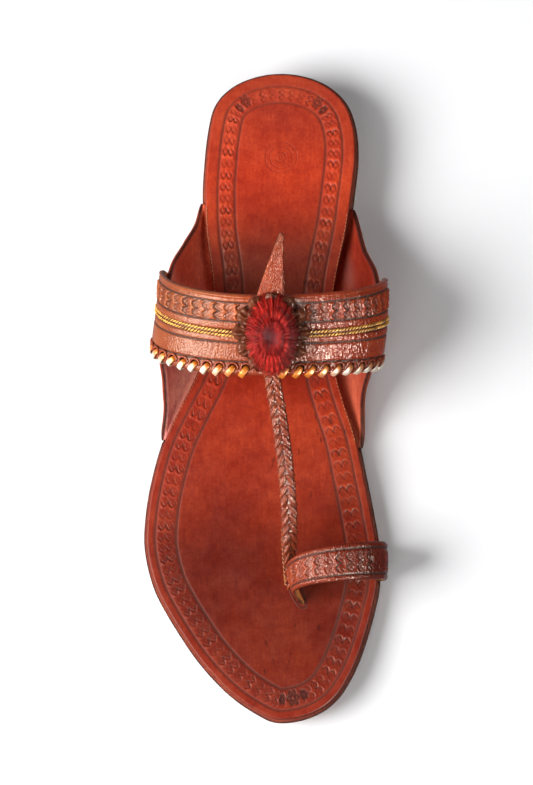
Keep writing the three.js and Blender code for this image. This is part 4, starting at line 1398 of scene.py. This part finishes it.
def loop_point(along, across):
    """The loop's middle surface, from the slit over the big toe and into the seam."""
    toe_x, toe_station, heel_x, heel_station, height = [part(along) for part in LOOP]
    x, station = mix(toe_x, heel_x, across), mix(toe_station, heel_station, across)
    return np.stack([x, -station, OUTSOLE_THICK + height + 0 * x], -1)


def loop_tool(a, b, long, wide):
    f = b / wide * LOOP_WIDTH
    s = from_centre(a)
    height, groove = stamp_row(s, f, *LOOP_STAMPS, LOOP_PITCH, depth=0.6, line=0.36, filled=0.6)
    for at in LOOP_LINES:
        h, g = line_cut(f, at, 0.34, 0.34)
        height, groove = height + h, deeper(groove, g)
    return height, groove


LOOP_DYE = (linear(126, 46, 26), linear(116, 34, 18))  # at the slit and at the sole's edge


def loop_dye(a, b, long, wide):
    return mix(*LOOP_DYE, smooth(a / long, 0.3, 0.7)[..., None])


toe_loop = strip("toe_loop_leather", lambda u, v: loop_point(mix(-0.02, 1, u), v), 92, LOOP_WIDTH,
                 LOOP_THICK, BAND_FINISH, loop_dye, cell=0.38, tool=loop_tool, edge_dark=0.8)

# %% Slit lips
SLIT_SHARE = 0.055  # where along the loop's path it passes the insole's top
SLIT_HALF_WIDTH, SLIT_SPARE = 1.6, 0.7
toe_end, heel_end = loop_point(SLIT_SHARE, 0.0), loop_point(SLIT_SHARE, 1.0)
slit_turn = np.linspace(0, 2 * np.pi, 41)[:, None]
slit_axis = unit(toe_end - heel_end)
slit_side = np.array([slit_axis[1], -slit_axis[0], 0])
half_slit = np.linalg.norm(toe_end - heel_end) / 2 + SLIT_SPARE


def slit_ring(widen, height):
    """A long ring round the slit, blunter at its ends than an ellipse, that lies on the insole."""
    blunt = np.sign(np.sin(slit_turn)) * abs(np.sin(slit_turn)) ** 0.7
    ring = ((toe_end + heel_end) / 2 + np.cos(slit_turn) * slit_axis * (half_slit + widen)
            + blunt * slit_side * (SLIT_HALF_WIDTH + widen))
    ring[:, 2] = lift(-ring[:, 1]) + INSOLE_TOP + height
    return ring


# The lips are dark all round the strap, partly the insole's own tone and partly painted shade. They are
# darkest at the slit's edge, where the groove and dark edge columns paint the gap's shade.
SLIT_DYE_AND_SHADE = linear(84, 24, 15)
LIP_SECTION = [  # out from the slit, height, groove, dark edge; the last row closes the ring
    (1.2, -0.1, 0.1, 0), (0.9, 0.03, 0.0, 0), (0.5, 0.08, 0.1, 0), (0.15, 0.05, 0.8, 0.6),
    (0.0, -0.1, 1.0, 1.0), (1.2, -0.15, 0.3, 0), (1.2, -0.1, 0.1, 0),
]
lip_rows = np.stack([slit_ring(out, height) for out, height, _, _ in LIP_SECTION], 1)[:-1]
lip_groove, lip_edge = [np.tile([row[k] for row in LIP_SECTION], len(lip_rows)) for k in (2, 3)]
slit_lips = build_mesh(
    "slit_lips", to_world(lip_rows).reshape(-1, 3), grid_faces(*lip_rows.shape[:2], wrap=True),
    {"groove": lip_groove, "edge": lip_edge, "flesh": 0 * lip_edge}, SLIT_DYE_AND_SHADE, INSOLE_FINISH)

# %% [markdown]
# ## The braided strap
# From under the band a narrow plait runs down to the toe loop. Leather plaited over a core shows a
# row of V shapes, each a pair of small crossed links. The core is a plain strip; the links are one
# leaf-shaped piece set along two lines, slanted one way on the left and the other on the right.

# %% Braided strap
STRAP = [column(STRAP_PATH, k) for k in range(1, 5)]
LINK_PITCH = 3.7
CORE_THICK = 2.0
CORE_WIDTH = STRAP_WIDTH * 0.9


def strap_line(along):
    x, station, height = [part(along) for part in STRAP[:3]]
    return np.stack([x, -station, INSOLE_TOP + height], -1)


def strap_frame(along):
    """The strap's middle line with its heading, the way its width runs and its outward face."""
    tangent = unit(strap_line(np.minimum(1, along + 1e-3)) - strap_line(np.maximum(0, along - 1e-3)))
    level = unit(np.cross(np.array([0.0, 0, 1]), tangent))
    turn = np.radians(-STRAP[3](along))[..., None]
    width = level * np.cos(turn) + np.cross(tangent, level) * np.sin(turn)
    return strap_line(along), tangent, width, np.cross(tangent, width)


def strap_point(along, across):
    line, _, width, _ = strap_frame(along)
    return line + width * (CORE_WIDTH * (across - 0.5))[..., None]


strap_core = strip("braid_core", strap_point, 88, CORE_WIDTH, CORE_THICK, BAND_FINISH,
                   linear(120, 54, 38), cell=0.7, edge_dark=0.9)

# %% Links of the braid
LINK = [  # along, height of its middle, width, thickness
    (-2.9, -0.1, 0.7, 0.5), (-2.3, 0.12, 1.5, 0.9), (-1.0, 0.3, 1.9, 1.1),
    (0.8, 0.26, 1.9, 1.1), (2.2, 0.02, 1.5, 0.8), (2.9, -0.25, 0.7, 0.4),
]
LINK_ASIDE, LINK_RAISED, LINK_SLANT = 1.5, 0.75, 29
strap_u = np.linspace(0.0, 1.0, 120)
line, _, width, face = strap_frame(strap_u)
link_piece = tube_shape("braid_link", [(x, 0, z) for x, z, _, _ in LINK], [row[2] for row in LINK],
                        [row[3] for row in LINK], linear(134, 54, 31), sides=8)
braid = []
for side, place_name in ((-1, "left"), (1, "right")):
    row = path_mesh("braid_path", [(line + width * LINK_ASIDE * side + face * LINK_RAISED, face)])
    braid.append(grow("braid_links_" + place_name, PATH_TREE, row, {
        **sizes(spacing=LINK_PITCH, slant=LINK_SLANT * side, wobble=3),
        "Shape": link_piece, "Finish": BAND_FINISH,
    }))

# %% Stitches on the strap's edge
STITCH = [  # along, height of its middle, width, thickness
    (-0.75, 0, 0.2, 0.2), (-0.45, 0.12, 0.5, 0.45), (0, 0.2, 0.55, 0.5), (0.45, 0.12, 0.5, 0.45),
    (0.75, 0, 0.2, 0.2),
]
stitch = tube_shape("stitch", [(x, 0, z) for x, z, _, _ in STITCH], [row[2] for row in STITCH],
                    [row[3] for row in STITCH], linear(168, 98, 66))
low_end = strap_u > 0.74
edge_path = path_mesh("edge_stitch_path", [
    ((line - width * STRAP_WIDTH * 0.45)[low_end], -width[low_end])])
edge_stitches = grow("strap_edge_stitches", PATH_TREE, edge_path, {
    **sizes(spacing=1.8, length=0.9, width=1.1, height=0.6, slant=60, wobble=8),
    "Shape": stitch, "Finish": BAND_FINISH,
})

# %% Stitches at the roots of the ears
root_paths = []
for side in ("lateral", "medial"):
    rear, front = EAR_SPAN[side]
    stations = np.linspace(rear + 3, front - 3, 120)
    seam = np.stack([insole_edge(side, stations) - 0.55 * SIGN[side], -stations,
                     lift(stations) + INSOLE_TOP - 0.08], -1)
    root_paths.append((seam, np.array([0.0, 0, 1])))
ear_stitches = grow("ear_stitches", PATH_TREE, path_mesh("ear_stitch_path", root_paths), {
    **sizes(spacing=1.5, length=0.75, width=0.8, wobble=6), "Shape": stitch, "Finish": EAR_FINISH,
})

# %% [markdown]
# ## Tab and rosette
# A pointed tongue lies over the band's crest. On it sits a rosette: two tiers of thin leather petals
# whose rims curl up as they dry. Both follow the band's own surface at a small distance above it.

# %% Tab
TAB = [column(TAB_ROWS, k) for k in range(1, 5)]


TAB_RISE = 0.28  # how steeply it leaves the band
TAB_CURL = 0.9


def tab_point(along, across):
    """The tab's middle surface: it lies on the band, then stands out past its heel-side edge."""
    ahead, x_mid, over, half = [part(along) for part in TAB]
    crest_run = BAND_TOE["crest"] - BAND_HEEL["crest"]
    across_band = 1 - ahead / crest_run
    x = x_mid + half * (2 * across - 1)
    on_band, _ = over_band(0.5 + (x - BAND_CREST_X) / BAND_LENGTH, np.minimum(1, across_band),
                           np.full_like(x, BAND_THICK / 2 + LAYER_GAP + TAB_THICK / 2))
    past = np.maximum(0, across_band - 1) * crest_run
    curl = TAB_CURL * (1 - across) ** 3 * smooth(along, 0.5, 0.95)
    return on_band + np.stack([0 * x, past, over + past * TAB_RISE + curl], -1)


TAB_FINISH = leather_finish("pebbled tab leather", mottle=0.15, streak=0.0, pebble=0.5, grain=1000.0,
                            grain_depth=0.00018, rough=(0.18, 0.3), coat=0.0, creases=1.6,
                            crease_way=(1.0, 0.8, 0.8), crease_size=760.0, shine=0.55)
tab = strip("tab_leather", tab_point, 34, 10.4, TAB_THICK, TAB_FINISH, linear(166, 66, 34),
            cell=0.4, up=-1.0, edge_dark=0.6, extra_edge=0.4)

# %% Rosette
ROSETTE_REST = BAND_THICK / 2 + LAYER_GAP + TAB_THICK + LAYER_GAP
ROSETTE_HALF = (12.8, 15.0)  # across the foot and along it
ROSETTE_THICK = 0.9
# Its dark colour paints the valleys between the petals: painted shade.
ROSETTE_FINISH = leather_finish("dark petal leather", mottle=0.2, streak=0.05, pebble=0.6,
                                grain=1300.0, grain_depth=0.00012, rough=(0.16, 0.3), coat=0.0,
                                dark=(24, 8, 8), shine=0.5)
PETALS = 12
petal_random = np.random.default_rng(12)


def petal_tier(name, reach, rest, turn, curl, tint):
    """One tier of petals: a round sheet whose scalloped rim curls up and rolls over."""
    spokes, rings = PETALS * 16, 22
    angle = np.repeat(np.linspace(0, 2 * np.pi, spokes, endpoint=False)[:, None], rings, 1)
    radius = np.repeat(np.linspace(0, 1, rings)[None], spokes, 0) ** 0.8
    phase = PETALS * (angle + turn)
    number = np.floor(phase / (2 * np.pi) + 0.5).astype(int) % PETALS
    lean = petal_random.uniform(0.6, 1.4, PETALS)[number]
    out = 0.5 + 0.5 * np.cos(phase)
    valley = (1 - out) ** 6 * smooth(radius, 0.35, 0.6)
    outline = radius * (0.94 + 0.1 * np.sqrt(out) * radius)
    lift_up = curl * lean * (0.35 + 0.65 * out) * smooth(radius, 0.5, 0.93)
    roll = 0.9 * smooth(radius, 0.93, 1.0)
    veins = 0.3 * np.cos(phase * 3) * smooth(radius, 0.35, 0.75)
    grids = []
    for thick in (ROSETTE_THICK, 0.0):
        distance = rest + thick + lift_up - roll - 0.9 * valley + veins
        across_foot = reach * ROSETTE_HALF[0] * outline * np.cos(angle)
        along_foot = reach * ROSETTE_HALF[1] * outline * np.sin(angle)
        point, _ = over_band(0.5 + across_foot / BAND_LENGTH,
                             CREST_ACROSS + along_foot / BAND_WIDTH, distance)
        grids.append(to_world(point))
    points = np.concatenate([grids[0], grids[1][:, ::-1]], 1).reshape(-1, 3)
    # The valleys between petals are painted dark and the raised veins lighter: painted shade in the
    # gaps and painted highlights on the veins.
    ridge = np.clip(np.cos(phase * 3), 0, 1) ** 2 * smooth(radius, 0.5, 0.9)
    gap_shade_and_vein_highlight = valley - 0.7 * ridge * (1 - valley)
    dark = np.concatenate([gap_shade_and_vein_highlight, np.full_like(valley, 0.5)], 1).ravel()
    rim = np.concatenate([smooth(radius, 0.96, 1.0), smooth(radius, 0.9, 1.0)[:, ::-1]], 1).ravel()
    layers = {"groove": 0.9 * dark, "edge": 0.5 * rim, "flesh": 0 * dark}
    faces = grid_faces(spokes, 2 * rings, wrap=True)
    return build_mesh(name, points, faces, layers, tint, ROSETTE_FINISH)


rosette_outer = petal_tier("rosette_outer", 1.0, ROSETTE_REST, 0.0, 2.4, linear(104, 48, 26))
rosette_inner = petal_tier("rosette_inner", 0.8, ROSETTE_REST + 1.0, 0.26, 2.6, linear(96, 42, 24))

# %% [markdown]
# ## The pompom's threads
# A tuft is a bundle of cut threads tied in its middle. Threads are scattered over a small dome on the
# band's crest. Each is one bent, three-sided hair that grows out of the dome and falls outwards, and
# the ones nearest the top are trimmed shorter. A packed core fills the tuft under them.

# %% A tree that grows threads
POMPOM_SEAT = BAND_THICK / 2 + ROSETTE_THICK + TAB_THICK + 1.4
seat, axis = over_band(np.array(0.5), np.array(CREST_ACROSS), np.array(POMPOM_SEAT))


def thread_tree():
    """Scatters threads over a small dome; each grows out of it and bends the way threads fall."""
    keys = [("Density", "Float"), ("Shortest", "Float"), ("Longest", "Float"), ("Seed", "Int"),
            ("Fall", "Vector"), ("Middle", "Float")]
    tree = new_tree("thread tuft", keys + [("Shape", "Object"), ("Finish", "Material")])
    n = Nodes(tree)
    source, result = n.add("NodeGroupInput"), n.add("NodeGroupOutput")
    size = source.outputs
    spread = n.add("GeometryNodeDistributePointsOnFaces", {
        "Mesh": size["Geometry"], "Density": size["Density"], "Seed": size["Seed"],
    })
    outward = spread.outputs["Normal"]
    down = n.add("ShaderNodeVectorMath", {0: outward, 1: size["Fall"]}, operation="DOT_PRODUCT")
    trim = n.ramp(down.outputs["Value"], ((-1.0, -0.75), (size["Middle"], 1.0)))
    long = n.math("MULTIPLY", random_between(n, size["Shortest"], size["Longest"], seed=3), trim)
    sway = random_between(n, -0.5, 0.5, seed=5)
    scale = n.add("ShaderNodeCombineXYZ", {"X": 1.0, "Y": 1.0, "Z": long}).outputs[0]
    turn = turned(n, outward, size["Fall"], sway)
    set_shapes(n, source, result, spread.outputs["Points"], turn, scale)
    return tree


# %% Thread finish
def thread_finish():
    """Dyed cotton: uneven along each thread, dull, with a faint red sheen."""
    made, n, shader, where = new_finish("red thread")
    fibre = noise(n, where, 900.0, 3.0, 0.5)
    tone = n.ramp(fibre, (NOISE_RANGE, (0.75, 1.2)))
    uneven = n.add("ShaderNodeCombineColor", {"Red": tone, "Green": tone, "Blue": tone}).outputs[0]
    tint = n.add("ShaderNodeAttribute", attribute_name="tint").outputs["Color"]
    for key, value in (
        ("Base Color", n.mix(1.0, tint, uneven, "MULTIPLY")),
        ("Roughness", n.ramp(fibre, (NOISE_RANGE, (0.5, 0.75)))), ("Specular IOR Level", 0.2),
        ("Sheen Weight", 0.12), ("Sheen Roughness", 0.4), ("Sheen Tint", (1.0, 0.35, 0.25, 1)),
    ):
        n.set(shader, key, value)
    return made


THREAD_FINISH = thread_finish()
print("finish:", THREAD_FINISH.name)

# %% Threads on a small dome
THREAD_THICK = [0.16, 0.2, 0.2, 0.17, 0.08]
THREAD_FALL = 3.4  # how far a thread's tip bends over, in millimetres
DOME_RADIUS = 1.3
DOME_SPOKES = 24
DOME_RISES = np.radians([8, 26, 45, 65, 86])

bend = np.linspace(0, 1, len(THREAD_THICK))
thread_shape = tube_shape("thread", np.stack([THREAD_FALL * bend**2.2, 0 * bend, bend], -1),
                          THREAD_THICK, THREAD_THICK, WHITE, sides=3)
ahead = unit(np.cross(axis, [1.0, 0, 0]))
sideways = np.cross(ahead, axis)


def about_seat(out_sideways, out_ahead, out_up):
    """Points about the tuft's seat, from their distances in its three directions."""
    return (seat + out_sideways[..., None] * sideways + out_ahead[..., None] * ahead
            + out_up[..., None] * axis)


dome_turn, dome_rise = np.meshgrid(np.linspace(0, 2 * np.pi, DOME_SPOKES + 1)[:-1], DOME_RISES,
                                   indexing="ij")
level_reach = DOME_RADIUS * np.cos(dome_rise)
dome = about_seat(level_reach * np.cos(dome_turn), level_reach * np.sin(dome_turn),
                  DOME_RADIUS * np.sin(dome_rise))
dome_mesh = bpy.data.meshes.new("tuft_dome")
dome_mesh.from_pydata(to_world(dome).reshape(-1, 3).tolist(), [],
                      grid_faces(DOME_SPOKES, len(DOME_RISES), wrap=True))
dome_mesh.update()
outwards = [np.dot(face.normal, np.array(face.center) - to_world(seat)) for face in dome_mesh.polygons]
if np.mean(outwards) < 0:
    dome_mesh.flip_normals()
pompom = grow("pompom_threads", thread_tree(), dome_mesh, {
    "Density": 6.0e8, "Shortest": 5.6, "Longest": 9.6, "Seed": 4, "Fall": tuple(-axis),
    "Middle": 0.6, "Shape": thread_shape, "Finish": THREAD_FINISH,
})

# %% The packed middle of the tuft
CORE_SPOKES, CORE_RINGS = 72, 15
CORE_SIDEWAYS, CORE_AHEAD, CORE_UP = 6.6, 9.8, 5.2
core_turn, core_rise = np.meshgrid(np.linspace(0, 2 * np.pi, CORE_SPOKES + 1)[:-1],
                                   np.linspace(-0.15, 1, CORE_RINGS), indexing="ij")
core_reach = 1 + 0.05 * np.sin(9 * core_turn) + 0.04 * np.sin(23 * core_turn + 2)
core_flat = (np.cos(np.clip(core_rise, 0, 1) * np.pi / 2) ** 0.7 * core_reach
             * np.where(core_rise < 0, 0.6, 1))
core_up = np.sin(core_rise * np.pi / 2) - 0.45 * np.exp(-((core_flat / 0.35) ** 2))
core_points = about_seat(CORE_SIDEWAYS * core_flat * np.cos(core_turn),
                         CORE_AHEAD * core_flat * np.sin(core_turn), CORE_UP * core_up + 0.6)
# The core is painted darker in its middle: painted shade deep in the tuft.
core_tint_and_shade = mix(linear(96, 14, 18), linear(150, 26, 26), smooth(core_flat, 0.1, 0.8)[..., None])
core_caps = [tuple(i * CORE_RINGS + ring for i in range(CORE_SPOKES)) for ring in (0, CORE_RINGS - 1)]
pompom_core = build_mesh(
    "pompom_core", to_world(core_points).reshape(-1, 3),
    grid_faces(CORE_SPOKES, CORE_RINGS, wrap=True) + core_caps,
    {"groove": np.zeros(core_flat.size)}, core_tint_and_shade.reshape(-1, 3), THREAD_FINISH)

# %% The tuft's shape and colour
# It is longer along the foot than across it. Its threads are painted dark near their roots, as shade
# deep in the tuft, and at the sides, and light at its two ends along the foot: painted shade and
# painted sheen.
STRETCH_AHEAD, SQUEEZE_SIDEWAYS = 0.42, 0.1
tips = read_points(pompom.data).astype(float)
from_seat = tips - to_world(seat)
tuft_ahead, tuft_sideways = from_seat @ ahead, from_seat @ sideways
tips += (ahead * (tuft_ahead * STRETCH_AHEAD)[:, None]
         - sideways * (tuft_sideways * SQUEEZE_SIDEWAYS)[:, None])
pompom.data.vertices.foreach_set("co", tips.ravel())
far = np.linalg.norm(from_seat, axis=1) * 1000
angle = np.arctan2(tuft_ahead, tuft_sideways)
clump = 0.7 + 0.3 * (0.5 + 0.5 * np.sin(angle * 9 + 2.0 * np.sin(angle * 4)))
# Painted shade near the roots and at the sides, painted sheen at the ends along the foot; the clumps
# are random.
bright = smooth(far, 2.5, 9.0) * (0.15 + 0.85 * np.abs(np.sin(angle))) * clump
store_tint(pompom.data, mix(linear(126, 24, 26), linear(246, 62, 50), bright[:, None]))
print("pompom:", np.round((tips.max(0) - tips.min(0)) * 1000, 1), "mm")

# %% [markdown]
# ## Put the pieces on the frame
# Every piece rides on the sandal's one rigid body and stands for the solid it dresses, which is hidden.
# The shapes that the trees repeated have done their work and are removed.

# %% Ride and replace
for shape in SHAPES:
    bpy.data.objects.remove(shape)

PIECES = [  # piece, the solids it stands for, a finish slot, which nothing here reads
    (insole, ["insole"], "insole"), (slit_lips, [], "insole"), (outsole, ["outsole"], "outsole"),
    (ears["lateral"], ["ear_lateral"], "ear"), (ears["medial"], ["ear_medial"], "ear"),
    (ear_stitches, [], "ear"), (band, ["upper"], "strap"), (toe_loop, ["upper"], "strap"),
    (strap_core, ["upper"], "strap"), (braid[0], [], "strap"), (braid[1], [], "strap"),
    (edge_stitches, [], "strap"), (hole_lips, [], "strap"), (gold_cords, [], "thread"),
    (laces, [], "thread"), (tab, ["tab"], "strap"), (rosette_outer, ["rosette"], "rosette"),
    (rosette_inner, ["rosette"], "rosette"), (pompom, ["pompom"], "thread"),
    (pompom_core, [], "thread"),
]
for made, nodes, slot in PIECES:
    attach(made, "root")
    for node in nodes:
        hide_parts(node)
